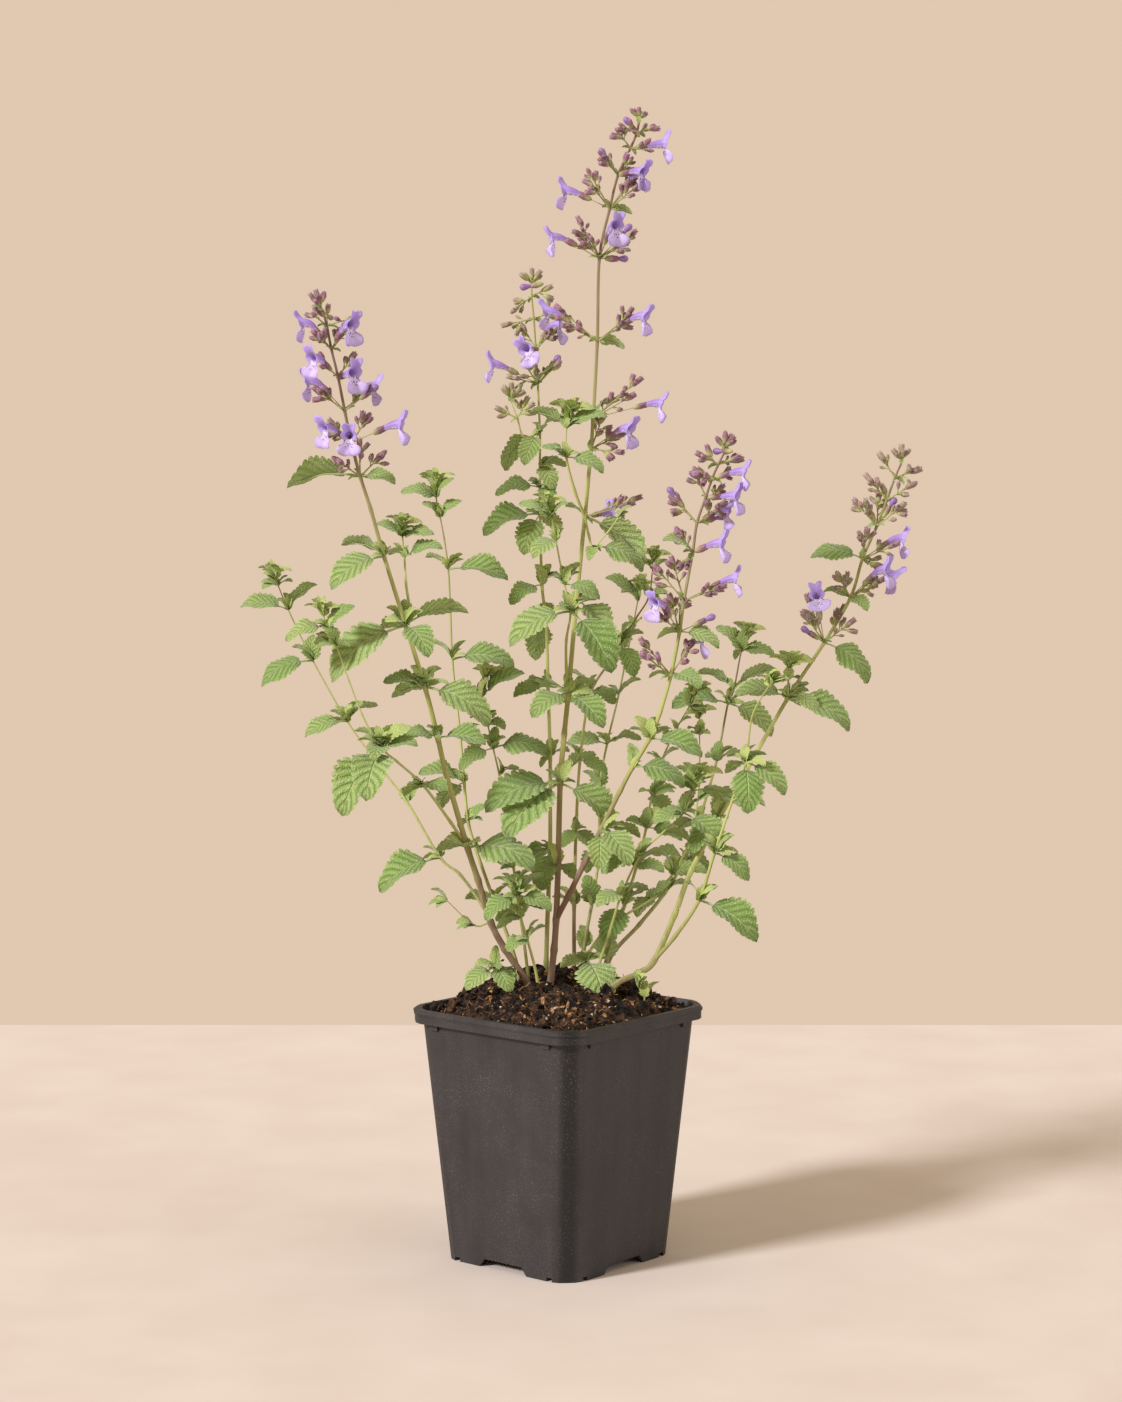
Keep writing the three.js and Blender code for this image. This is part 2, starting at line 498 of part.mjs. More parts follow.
function potSolid() {
  const bandZ = POT_HEIGHT - RIM_BAND;
  const outside = solid(skinned([
    potRing(BODY_FOOT_SIDE, BODY_CHAMFER, 0),
    potRing(BODY_TOP_SIDE, BODY_CHAMFER, bandZ - 0.6),
    potRing(RIM_SIDE, RIM_CHAMFER, bandZ),
    potRing(RIM_SIDE, RIM_CHAMFER, POT_HEIGHT - RIM_ROUND),
    potRing(RIM_SIDE - 2 * RIM_ROUND, RIM_CHAMFER, POT_HEIGHT),
  ]));
  const thin = 2 * WALL;
  const inside = solid(skinned([
    potRing(sideAt(FLOOR_Z + FLOOR_THICK) - thin, BODY_CHAMFER - 1, FLOOR_Z + FLOOR_THICK),
    potRing(BODY_TOP_SIDE - thin, BODY_CHAMFER - 1, bandZ - 0.6),
    potRing(RIM_SIDE - thin - 2 * RIM_ROUND, RIM_CHAMFER - 1, POT_HEIGHT + 1),
  ]));
  const under = solid(skinned([
    potRing(sideAt(-1) - thin, BODY_CHAMFER - 1, -1),
    potRing(sideAt(FLOOR_Z) - thin, BODY_CHAMFER - 1, FLOOR_Z),
  ]));
  let pot = outside.subtract(inside).subtract(under);
  const middle = BODY_FOOT_SIDE / 2;
  for (let quarter = 0; quarter < 4; quarter++) {
    const { width, height, slope } = FOOT_SLOT;
    const outline = new THREE.Shape([
      new THREE.Vector2(-width / 2, -1), new THREE.Vector2(width / 2, -1), new THREE.Vector2(width / 2, 0),
      new THREE.Vector2(width / 2 - slope, height), new THREE.Vector2(-width / 2 + slope, height),
      new THREE.Vector2(-width / 2, 0),
    ]);
    const slot = new THREE.ExtrudeGeometry(outline, { depth: 8, bevelEnabled: false });
    slot.rotateX(Math.PI / 2).translate(0, middle + 5, 0);
    const notchX = middle - FOOT_NOTCH.inset - FOOT_NOTCH.width;
    const cuts = [
      solid(slot),
      box(FOOT_NOTCH.width, 8, FOOT_NOTCH.height + 1, notchX, middle, -1),
      box(FOOT_NOTCH.width, 8, FOOT_NOTCH.height + 1, -notchX, middle, -1),
    ];
    for (const cut of cuts) pot = pot.subtract(cut.rotate([0, 0, quarter * 90]));
    const lug = box(LUG.length, LUG.depth + 1, LUG.height, BODY_TOP_SIDE / 2 - BODY_CHAMFER - 7,
      BODY_TOP_SIDE / 2 + LUG.depth / 2 - 0.5, bandZ - LUG.height);
    const lugTwin = lug.mirror([1, 0, 0]);
    for (const block of [lug, lugTwin]) pot = pot.add(block.rotate([0, 0, quarter * 90]));
  }
  const holes = [[0, 0], [24, 24], [-24, 24], [-24, -24], [24, -24]];
  for (const [x, y] of holes) {
    const hole = new THREE.CylinderGeometry(DRAIN_HOLE_RADIUS, DRAIN_HOLE_RADIUS, 8, 8);
    hole.rotateX(Math.PI / 2).translate(x, y, FLOOR_Z + 1);
    pot = pot.subtract(solid(hole));
  }
  return pot;
}

// ---------------------------------------------------------------- soil
// Height of the heaped peat at a place in the plant's own frame: a low heap, clods and crumbs.
function soilHeight(x, y) {
  const away = Math.hypot(x, y) / (RIM_SIDE / 2);
  const heap = SOIL_HEAP * Math.exp(-away * away * 1.5);
  const clods = Math.sin(x * 0.19 + 1.3) * Math.cos(y * 0.23 - 0.4) + 0.6 * Math.sin((x - y) * 0.31 + 2);
  const crumbs = Math.sin(x * 0.83 + y * 0.37) * Math.cos(y * 0.71 - x * 0.29);
  return SOIL_EDGE_Z + heap + SOIL_CRUMB * (0.5 * clods + 0.3 * crumbs);
}

function soilSolid(stemHoles) {
  const n = SOIL_CELLS;
  const lowZ = FLOOR_Z + FLOOR_THICK + GAP;
  const lowSide = sideAt(lowZ) - 2 * (WALL + GAP) - 0.4;
  const topSide = RIM_SIDE - 2 * WALL;
  const top = [];
  for (let j = 0; j <= n; j++) {
    for (let i = 0; i <= n; i++) {
      const x = (i / n - 0.5) * topSide;
      const y = (j / n - 0.5) * topSide;
      const turned = new Vector3(x, y, 0).applyAxisAngle(new Vector3(0, 0, 1), -PLANT_TURN);
      top.push(new Vector3(x, y, soilHeight(turned.x, turned.y)));
    }
  }
  const at2 = (i, j) => j * (n + 1) + i;
  const rim = [];
  for (let i = 0; i < n; i++) rim.push(at2(i, 0));
  for (let j = 0; j < n; j++) rim.push(at2(n, j));
  for (let i = n; i > 0; i--) rim.push(at2(i, n));
  for (let j = n; j > 0; j--) rim.push(at2(0, j));
  const faces = [];
  for (let j = 0; j < n; j++) {
    for (let i = 0; i < n; i++) {
      faces.push([at2(i, j), at2(i + 1, j), at2(i + 1, j + 1)], [at2(i, j), at2(i + 1, j + 1), at2(i, j + 1)]);
    }
  }
  const base = top.length;
  const points = [...top, ...rim.map((k) => new Vector3(top[k].x, top[k].y, 0))];
  rim.forEach((k, s) => {
    const next = (s + 1) % rim.length;
    faces.push([k, base + s, base + next], [k, base + next, rim[next]]);
    if (s > 0 && s + 1 < rim.length) faces.push([base, base + next, base + s]);
  });
  const body = new Body();
  body.points = points;
  body.faces = faces;
  const heaped = solid(body.geometry());
  const shrink = 2 * (WALL + GAP);
  const bandZ = POT_HEIGHT - RIM_BAND;
  const room = solid(skinned([
    potRing(lowSide, BODY_CHAMFER - 1, lowZ),
    potRing(BODY_TOP_SIDE - shrink, BODY_CHAMFER - 1, bandZ - 0.6),
    potRing(RIM_SIDE - shrink - 2 * RIM_ROUND - 1.5, RIM_CHAMFER - 1, POT_HEIGHT - 0.5),
    potRing(RIM_SIDE - shrink - 2 * RIM_ROUND - 1.5, RIM_CHAMFER - 1, POT_HEIGHT + 40),
  ]));
  return stemHoles.reduce((soil, hole) => soil.subtract(hole), heaped.intersect(room));
}

// ---------------------------------------------------------------- leaves and flowers
// Half a leaf's outline, base to tip, in shares of the blade: round teeth as peaks and nicks.
const TEETH = {
  4: [[0.08, 1], [0.2, 0], [0.32, 1], [0.45, 0], [0.56, 1], [0.69, 0], [0.79, 1]],
  3: [[0.12, 1], [0.28, 0], [0.43, 1], [0.59, 0], [0.73, 1]],
  2: [[0.2, 1], [0.42, 0], [0.62, 1]],
};
const RIDGE = { 4: [0.5, 0.78], 3: [0.55], 2: [0.5] };
const PEAK = 1.07;
const NICK = 0.86;
const ovate = (b) => (b < 0.3 ? Math.sqrt(Math.sin((Math.PI / 2) * (b / 0.3)))
  : Math.cos((Math.PI / 2) * ((b - 0.3) / 0.7)) ** 0.8);
const teethFor = (length) => (length >= 30 ? 4 : length >= 22 ? 3 : length >= TOOTHED_FROM ? 2 : 0);

// One face of a blade: triangles between its outline, which runs down the left side and back up the
// right, and the points of its midrib. Stations are how far along the leaf the points lie.
function bladeFace(body, outline, stations, spine, isBelow) {
  const put = (triangle, isTurned) => {
    if (new Set(triangle).size === 3) body.faces.push(isTurned ? triangle.reverse() : triangle);
  };
  put([outline.at(-1), outline[0], spine[0][1]], isBelow);
  for (const isRight of [false, true]) {
    const edge = isRight ? outline.toReversed() : outline;
    let r = 0;
    let m = 0;
    while (r + 1 < stations.length || m + 1 < spine.length) {
      const edgeNext = m + 1 === spine.length
        || (r + 1 < stations.length && stations[r + 1] <= (spine[m][0] + spine[m + 1][0]) / 2);
      const far = edgeNext ? edge[r + 1] : spine[m + 1][1];
      put([edge[r], far, spine[m][1]], isBelow !== isRight);
      if (edgeNext) r += 1;
      else m += 1;
    }
  }
}

// A leaf that grows on from the loop of its root. Swell makes it thicker and wider all round, for
// the room that it needs.
function growLeaf(body, side, { root, reach }, swell = 0) {
  const length = reach.length();
  const along = reach.clone().divideScalar(length);
  const frame = frameOf(along, new Vector3(0, LEAF.faceLean * Math.sign(reach.y || -1), 1));
  const point = (s, w, lift) => root.clone().addScaledVector(along, s * length)
    .addScaledVector(frame.up, LEAF.arch * length * 4 * s * (1 - s) + LEAF.fold * Math.abs(w) + lift)
    .addScaledVector(frame.right, w);
  const loop = begun(body, side, frame);
  const teeth = teethFor(length);
  if (teeth === 0) {
    const wide = length * SMALL_LEAF.halfWidth + swell;
    const [belowLeft, belowRight, aboveRight, aboveLeft] = loop;
    const [left, tip, right] = body.ring([point(SMALL_LEAF.widest, -wide, 0), point(1, 0, 0),
      point(SMALL_LEAF.widest, wide, 0)]);
    body.lid([tip, right, aboveRight, aboveLeft, left]);
    body.lid([tip, left, belowLeft, belowRight, right]);
    body.faces.push([left, aboveLeft, belowLeft], [belowRight, aboveRight, right]);
    return;
  }
  const hasStalk = length >= STALK_FROM;
  const stalk = hasStalk ? PETIOLE.share : 0;
  const blade = 1 - stalk;
  const half = LEAF.halfWidth * length * blade + swell;
  const w = PETIOLE.halfWidth + swell;
  const t = PETIOLE.thick / 2 + swell;
  const square = [[-w, -t], [w, -t], [w, t], [-w, t]];
  const neck = hasStalk ? body.ring(square.map(([x, lift]) => point(stalk, x, lift))) : loop;
  if (hasStalk) body.band(loop, neck);
  const [belowLeft, belowRight, aboveRight, aboveLeft] = neck;
  const edge = TEETH[teeth].map(([b, isPeak]) => [stalk + b * blade, half * ovate(b) * (isPeak ? PEAK : NICK)]);
  const stations = [0, ...edge.map(([s]) => s), 1];
  const rimAt = (lift) => body.ring([...edge.map(([s, x]) => point(s, -x, lift)), point(1, 0, lift),
    ...edge.toReversed().map(([s, x]) => point(s, x, lift))]);
  const spineAt = (lift, tip) => [...RIDGE[teeth].map((b) => [stalk + b * blade, lift]), [1, null]]
    .map(([s, y]) => [s, y === null ? tip : body.ring([point(s, 0, y)])[0]]);
  if (length < WALLED_FROM) {
    const rim = rimAt(0);
    const belly = LENS_THICK / 2 + swell;
    bladeFace(body, [aboveLeft, ...rim, aboveRight], stations, spineAt(belly, rim[edge.length]), false);
    bladeFace(body, [belowLeft, ...rim, belowRight], stations, spineAt(-belly, rim[edge.length]), true);
    body.faces.push([rim[0], aboveLeft, belowLeft], [belowRight, aboveRight, rim.at(-1)]);
    return;
  }
  const thick = BLADE_THICK / 2 + swell;
  const upper = rimAt(thick);
  const lower = rimAt(-thick);
  const above = [aboveLeft, ...upper, aboveRight];
  const below = [belowLeft, ...lower, belowRight];
  bladeFace(body, above, stations, spineAt(thick, upper[edge.length]), false);
  bladeFace(body, below, stations, spineAt(-thick, lower[edge.length]), true);
  for (let k = 0; k + 1 < above.length; k++) body.quad(above[k + 1], above[k], below[k], below[k + 1]);
}

// A piece that goes on straight from its root's loop through squares of given radii to a point or
// a flat end: a stalk, calyx or bud. Each station is a distance along and a radius.
function growStraight(body, side, root, direction, stations, swell = 0) {
  const frame = frameOf(direction, uprightFor(direction));
  let last = begun(body, side, frame);
  for (const [distance, radius] of stations) {
    const middle = root.clone().addScaledVector(direction, distance);
    if (radius === 0) {
      body.point(last, middle);
      return;
    }
    const next = body.ring(squareRing(middle, frame, radius + swell));
    body.band(last, next);
    last = next;
  }
  body.lid(last);
}

// A flower's stalk and calyx, which its corolla stands before.
const stalkTo = (foot) => (foot > SHORTEST_STALK ? [[foot, PEDUNCLE_RADIUS]] : []);
const mouthOf = (reach) => reach.length() - COROLLA.tube + 1;
function growFlower(body, side, { root, reach }, swell = 0) {
  const mouth = mouthOf(reach);
  const middle = Math.max(mouth - 0.6 * CALYX.length, SHORTEST_STALK);
  growStraight(body, side, root, reach.clone().normalize(),
    [...stalkTo(mouth - CALYX.length), [middle, CALYX.radius], [mouth, CALYX.mouth]], swell);
}

function growBud(body, side, { root, reach }, swell = 0) {
  const end = reach.length();
  growStraight(body, side, root, reach.clone().normalize(),
    [...stalkTo(end - BUD.length), [end - 0.35 * BUD.length, BUD.radius], [end, 0]], swell);
}

function growCalyx(body, side, { root, reach }, swell = 0) {
  const end = reach.length();
  growStraight(body, side, root, reach.clone().normalize(), [[0.64 * end, CALYX.radius], [end, 0]], swell);
}

const growStalk = (body, side, { root, reach }, swell = 0) => growStraight(body, side, root,
  reach.clone().normalize(), [[reach.length() + SHORTEST_STALK, PEDUNCLE_RADIUS]], swell);

// An open corolla: a tube that widens to its throat, a hooded upper lip, a broad lower lip.
function corollaBody(start, direction, swell = 0) {
  const body = new Body();
  const frame = frameOf(direction, uprightFor(direction));
  const { right, up } = frame;
  const mouth = start.clone().addScaledVector(direction, COROLLA.tube);
  const base = body.ring(squareRing(start, frame, COROLLA.neck + swell));
  const throat = body.ring(squareRing(mouth, frame, COROLLA.throat + swell));
  const inner = body.ring(squareRing(mouth, frame, COROLLA.throat - COROLLA.lipThick));
  body.lid(base.toReversed());
  body.band(base, throat);
  body.band(throat, inner, [0, 2]);
  body.lid(inner);
  const [lowLeft, lowRight, highRight, highLeft] = throat;
  const [inLowLeft, inLowRight, inHighRight, inHighLeft] = inner;
  const lip = (upwards, outer, inside, outline) => {
    const out = direction.clone().multiplyScalar(LIP_FORWARD).addScaledVector(up, upwards).normalize();
    const inward = out.clone().cross(right).multiplyScalar(-upwards * (COROLLA.lipThick + 2 * swell));
    const foot = mouth.clone().addScaledVector(up, upwards * COROLLA.throat * Math.SQRT1_2)
      .addScaledVector(inward, -swell / COROLLA.lipThick);
    const places = outline.map(([w, s]) => foot.clone()
      .addScaledVector(right, w + Math.sign(w) * swell).addScaledVector(out, s + swell));
    const far = [outer[0], ...body.ring(places), outer[1]];
    const near = [inside[0], ...body.ring(places.map((p) => p.clone().add(inward))), inside[1]];
    body.lid(far);
    body.lid(near.toReversed());
    for (let k = 0; k + 1 < far.length; k++) body.quad(far[k + 1], far[k], near[k], near[k + 1]);
  };
  lip(1, [highLeft, highRight], [inHighLeft, inHighRight], UPPER_LIP);
  lip(-1, [lowRight, lowLeft], [inLowRight, inLowLeft], LOWER_LIP);
  return body;
}

// ---------------------------------------------------------------- room between the pieces
// What has grown, with the box round each piece. A new growth turns aside where it would cross.
const grown = [];
const touches = (a, b) => [0, 1, 2].every((k) => a.min[k] < b.max[k] && b.min[k] < a.max[k]);
const occupy = (node, piece) => grown.push({ node, piece, box: piece.boundingBox() });

// The volume that a growth would share with others: swollen by the gap against other stems' pieces.
function crossing(node, slim, swollen) {
  let volume = 0;
  for (const other of grown) {
    const piece = other.node === node ? slim : swollen;
    if (touches(piece.boundingBox(), other.box)) {
      const shared = piece.intersect(other.piece).volume();
      if (shared > TOUCH) volume += shared;
    }
  }
  return volume;
}

// The ways that a growth may turn aside, in degrees of yaw and pitch, the least turn first; the
// last of them are tried again at a smaller size.
const TURNS = YAWS.flatMap((yaw) => PITCHES.map((pitch) => [yaw, pitch]))
  .sort((a, b) => Math.hypot(...a) - Math.hypot(...b));

function turned(reach, [yaw, pitch]) {
  const level = new Vector3(0, 0, 1).cross(reach);
  if (level.lengthSq() < 1e-6) level.set(1, 0, 0);
  return reach.clone().applyAxisAngle(level.normalize(), -radians(pitch))
    .applyAxisAngle(new Vector3(0, 0, 1), radians(yaw));
}

// ---------------------------------------------------------------- growing the plant
// Each slot is a side of a stem that is left open for a growth.
const bodies = new Map();
const slots = [];

// Which side of a joint each growth leaves from: the side that it faces, or a freer one.
function sidesFor(reaches, { right, up }) {
  const outward = [up.clone().negate(), right, up, right.clone().negate()];
  const used = [0, 0, 0, 0];
  return reaches.map((reach) => {
    const costs = outward.map((side, k) => CROWDED_SIDE * used[k] - side.dot(reach.clone().normalize()));
    const side = costs.indexOf(Math.min(...costs));
    used[side] += 1;
    return { side, level: used[side] - 1 };
  });
}

// A stem, shoot or peduncle: a square section swept through its joints, with a short collar of open
// sides at each joint that bears growths, and a point or a growth at its end. Gives back its rings.
function growLimb(name, side, start, joints, foot, top, ending = null) {
  const body = bodies.get(name);
  const places = [start, ...joints.map(({ place }) => place)];
  const firstWay = places[1].clone().sub(start).normalize();
  let frame = frameOf(firstWay, side ? uprightFor(firstWay) : new Vector3(0, 1, 0));
  let last = side ? begun(body, side, frame) : body.ring(squareRing(start, frame, foot));
  if (!side) body.lid(last.toReversed());
  const rings = [{ loop: last, middle: start }];
  joints.forEach(({ place, grows }, i) => {
    const before = places[i];
    const after = places[i + 2] ?? place.clone().multiplyScalar(2).sub(before);
    const direction = after.clone().sub(before).normalize();
    frame = frameOf(direction, frame.up);
    const radius = MathUtils.lerp(foot, top, joints.length > 1 ? i / (joints.length - 1) : 1);
    const sides = sidesFor(grows.map(({ reach }) => reach), frame);
    const levels = Math.max(0, ...sides.map(({ level }) => level + 1));
    const collar = COLLAR_HEIGHT * MathUtils.clamp(radius, 0.7, 1);
    for (let level = 0; level <= levels; level++) {
      const middle = place.clone().addScaledVector(direction, (level - levels / 2) * collar);
      const next = body.ring(squareRing(middle, frame, radius));
      const open = sides.filter((s) => s.level === level - 1);
      body.band(last, next, level === 0 ? [] : open.map((s) => s.side));
      for (const taken of level === 0 ? [] : open) {
        const [k, after4] = [taken.side, (taken.side + 1) % 4];
        const growth = grows[sides.indexOf(taken)];
        slots.push({ growth, name, root: place, loop: [last[k], last[after4], next[after4], next[k]] });
      }
      rings.push({ loop: next, middle });
      last = next;
    }
    if (i < joints.length - 1) return;
    if (ending) slots.push({ growth: ending, name, root: place, loop: last });
    else body.point(last, place.clone().addScaledVector(direction, (levels / 2) * collar + top * 1.5));
  });
  occupy(name, solid(skinned(rings.map(({ loop }) => loop.map((k) => body.points[k])))));
  return rings.map(({ loop, middle }) => ({ middle, corners: loop.map((k) => body.points[k]) }));
}

// The main stems, each with its hole through the peat.
const holes = STEMS.map(({ name, foot, top, joints }) => {
  bodies.set(name, new Body());
  const [first, second] = joints.map(({ place }) => place);
  const start = first.clone().lerp(second, -0.3).setZ(ROOT_Z);
  const rings = growLimb(name, null, start, joints, foot, top);
  const wider = rings.slice(0, 4).map(({ middle, corners }) => corners.map((p) => middle.clone()
    .lerp(p, 1 + (GAP * Math.SQRT2) / foot)));
  wider[0].forEach((p) => p.setZ(ROOT_Z - GAP));
  return solid(skinned(wider));
});
const plantTurn = MathUtils.radToDeg(PLANT_TURN);
const pot = potSolid();
const soil = soilSolid(holes.map((hole) => hole.rotate([0, 0, plantTurn])));
occupy('pot', pot.rotate([0, 0, -plantTurn]));
occupy('soil', soil.rotate([0, 0, -plantTurn]));

// A growth with its root's loop as a closed piece of its own.
function alone(build, { name, root, loop }, reach, swell) {
  const { points } = bodies.get(name);
  const piece = new Body();
  const foot = piece.ring(loop.map((k) => points[k]));
  piece.lid(foot.toReversed());
  build(piece, foot, { root, reach }, swell);
  return solid(piece.geometry());
}

function bloomOf({ root }, reach, swell) {
  const direction = reach.clone().normalize();
  const start = root.clone().addScaledVector(direction, mouthOf(reach) + GAP);
  return corollaBody(start, direction, swell);
}

// The first way in which a growth crosses nothing, or null where there is none.
function clearWay(slot, build, sizes) {
  for (const size of sizes) {
    for (const turn of TURNS) {
      const reach = turned(slot.growth.reach, turn).multiplyScalar(size);
      const slim = alone(build, slot, reach, 0);
      let volume = crossing(slot.name, slim, alone(build, slot, reach, GAP));
      if (slot.growth.kind === 'flower' && volume === 0) {
        const bloom = solid(bloomOf(slot, reach, GAP).geometry());
        volume = crossing(null, bloom, bloom);
      }
      if (volume === 0) return { reach, slim };
    }
  }
  return null;
}
const seal = ({ name, loop }) => bodies.get(name).lid(loop);

// Shoots and flower stalks open more slots, which come last in the list.
for (const slot of slots) {
  const { growth, name, root, loop } = slot;
  if (growth.kind === 'shoot') {
    growLimb(name, loop, root, growth.joints, growth.foot, growth.top);
  } else if (growth.kind === 'cyme') {
    const way = clearWay(slot, growStalk, [1]);
    if (!way) {
      seal(slot);
      continue;
    }
    const direction = way.reach.clone().normalize();
    const frame = frameOf(direction, uprightFor(direction));
    const length = CALYX.length * (1 - CALYX.shrink * MathUtils.smoothstep(root.z, 420, 560));
    const around = [0.25, 0.75, 0.5].slice(0, growth.count - 1).map((share) => {
      const angle = 2 * Math.PI * share;
      const outward = direction.clone().addScaledVector(frame.right, CALYX.spread * Math.sin(angle))
        .addScaledVector(frame.up, -CALYX.spread * Math.cos(angle));
      return { kind: 'calyx', reach: outward.setLength(length) };
    });
    const end = { place: root.clone().add(way.reach), grows: around.slice(0, MOST_SIDE_CALYCES) };
    const middle = { kind: 'calyx', reach: direction.clone().setLength(length + 1) };
    growLimb(name, loop, root, [end], PEDUNCLE_RADIUS, PEDUNCLE_RADIUS, middle);
  }
}

// The rest take their room in turn: open flowers and buds, then the leaves by length, then calyces.
const BUILDERS = { leaf: growLeaf, flower: growFlower, bud: growBud, calyx: growCalyx };
const RANKS = { flower: 3000, bud: 2000, leaf: 1000, calyx: 0 };
const rank = ({ growth }) => RANKS[growth.kind] + growth.reach.length();
const corollas = [];
const waiting = slots.filter(({ growth }) => growth.kind in BUILDERS).sort((a, b) => rank(b) - rank(a));
for (const slot of waiting) {
  const build = BUILDERS[slot.growth.kind];
  const way = clearWay(slot, build, SIZES);
  if (!way) {
    seal(slot);
    continue;
  }
  build(bodies.get(slot.name), slot.loop, { root: slot.root, reach: way.reach });
  occupy(slot.name, way.slim);
  if (slot.growth.kind === 'flower') {
    corollas.push(bloomOf(slot, way.reach, 0));
    occupy(`corolla_${corollas.length}`, solid(corollas.at(-1).geometry()));
  }
}

// ---------------------------------------------------------------- materials and scene graph
const finish = (color, roughness) => new THREE.MeshStandardMaterial({ color, roughness, metalness: 0 });
const potPlastic = finish('#2f2c2a', 0.55);
const peat = finish('#2b1f18', 0.95);
const green = finish('#6f8a4c', 0.7);
const violet = finish('#9b85d8', 0.6);

function named(name, geometry, material) {
  const mesh = new THREE.Mesh(geometry, material);
  mesh.name = name;
  return mesh;
}

const model = new THREE.Group();
model.add(named('pot', geometryOf(pot), potPlastic));
model.add(named('soil', geometryOf(soil), peat));

const plant = new THREE.Group();
plant.rotation.z = PLANT_TURN;
for (const [name, body] of bodies) plant.add(named(name, body.geometry(), green));
corollas.forEach((body, k) => plant.add(named(`corolla_${k + 1}`, body.geometry(), violet)));
model.add(plant);

// The origin goes under the middle of the whole plant's box.
const middle = new THREE.Box3().setFromObject(model, true).getCenter(new Vector3());
model.position.set(-middle.x, -middle.y, 0);

export default model;
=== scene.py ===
import json
import math
import random

import bmesh
import bpy
from mathutils import Matrix, Vector, kdtree, noise

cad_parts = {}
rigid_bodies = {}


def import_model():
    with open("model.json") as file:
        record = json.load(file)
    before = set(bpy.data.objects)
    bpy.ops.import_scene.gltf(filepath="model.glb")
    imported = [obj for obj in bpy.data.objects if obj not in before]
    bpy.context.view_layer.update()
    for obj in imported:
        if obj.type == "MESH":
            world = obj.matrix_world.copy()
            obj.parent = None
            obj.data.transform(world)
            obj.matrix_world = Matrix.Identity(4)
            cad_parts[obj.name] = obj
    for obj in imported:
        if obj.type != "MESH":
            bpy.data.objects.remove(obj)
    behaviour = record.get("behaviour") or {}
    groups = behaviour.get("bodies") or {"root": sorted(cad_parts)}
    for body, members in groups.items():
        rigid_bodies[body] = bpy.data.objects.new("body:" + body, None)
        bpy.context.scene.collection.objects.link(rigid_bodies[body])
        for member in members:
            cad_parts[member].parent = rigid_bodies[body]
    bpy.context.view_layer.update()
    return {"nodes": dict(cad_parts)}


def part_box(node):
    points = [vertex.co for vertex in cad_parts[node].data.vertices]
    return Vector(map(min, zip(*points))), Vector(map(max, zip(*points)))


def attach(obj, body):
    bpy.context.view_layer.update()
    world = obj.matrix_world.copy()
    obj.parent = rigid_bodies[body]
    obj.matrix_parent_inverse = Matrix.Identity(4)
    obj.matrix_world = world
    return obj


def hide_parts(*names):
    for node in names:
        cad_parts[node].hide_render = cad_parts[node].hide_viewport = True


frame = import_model()

# ---------------------------------------------------------------- camera
# The plant has a frame of its own in millimetres: x to the right, y away and z up, over the middle
# of the pot, in which the camera looks along y. The plant is turned in its square pot.
PLANT_TURN = math.radians(40.1)
CAMERA_PLACE = (1.4, -1500, 398.6)
CAMERA_DIP = 0.082
FILM_WIDTH = 36
FOCAL_LENGTH = 79.1
pot_low, pot_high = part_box("pot")
pot_middle = (pot_low + pot_high) / 2
PLANT_TO_WORLD = (Matrix.Translation((pot_middle.x, pot_middle.y, 0))
                  @ Matrix.Rotation(PLANT_TURN, 4, "Z") @ Matrix.Scale(0.001, 4))

lens = bpy.data.cameras.new("camera")
lens.sensor_width = FILM_WIDTH
lens.lens = FOCAL_LENGTH
camera = bpy.data.objects.new("camera", lens)
bpy.context.scene.collection.objects.link(camera)
camera.location = PLANT_TO_WORLD @ Vector(CAMERA_PLACE)
camera.rotation_euler = (math.pi / 2 - CAMERA_DIP, 0, PLANT_TURN)
bpy.context.scene.camera = camera

# ---------------------------------------------------------------- pot
# A square one litre nursery pot, injection moulded in black polypropylene. Its edges are rounded by
# the mould, its rim has a thin lip along the top, and the wall carries scuffs and a film of peat dust.
POT_EDGE = 0.0009
EDGE_FROM = math.radians(30)
POT_LIP = 0.0022
POT_LIP_OUT = 0.0005
# The band of painted shade down each corner: where it starts and where it is darkest.
POT_CORNER_HALF = 0.009
POT_CORNER_CORE = 0.002
# Millimetres from one to the next: the mould's grain, specks of dust, scuffs, and marks of the flow.
POT_GRAIN = 0.714
POT_SPECK = 1.11
POT_SCUFF = 22.2
POT_FLOW = (11.1, 11.1, 111)
POT_BLACK = "#1d1b1b"
POT_WORN = "#302c2b"
# The near black of the painted shade down the corners.
POT_CORNER_SHADE = "#060607"
POT_DUST = "#857b72"


def linear(code):
    """A linear colour from its sRGB hex code."""
    values = [int(code[i:i + 2], 16) / 255 for i in (1, 3, 5)]
    return [v / 12.92 if v <= 0.04045 else ((v + 0.055) / 1.055) ** 2.4 for v in values] + [1.0]


def add(tree, kind, inputs=None, **settings):
    """Adds a node with its settings. Each input takes a value, a socket of another node, or another
    node for the first of its outputs that is in use."""
    node = tree.nodes.new(kind)
    for name, value in settings.items():
        setattr(node, name, value)
    for name, value in (inputs or {}).items():
        if isinstance(value, bpy.types.Node):
            value = next(socket for socket in value.outputs if socket.enabled)
        if isinstance(value, bpy.types.NodeSocket):
            tree.links.new(value, node.inputs[name])
        else:
            node.inputs[name].default_value = value
    return node


def mesh_of(name, made):
    """The mesh that a bmesh has made, which is then done with."""
    mesh = bpy.data.meshes.new(name)
    made.to_mesh(mesh)
    made.free()
    return mesh


def shown(name, mesh):
    """An object of a mesh, in the scene."""
    made = bpy.data.objects.new(name, mesh)
    bpy.context.scene.collection.objects.link(made)
    return made


def empty_material(name):
    """A new material with no nodes but its output."""
    material = bpy.data.materials.new(name)
    material.use_nodes = True
    material.node_tree.nodes.clear()
    return material, material.node_tree
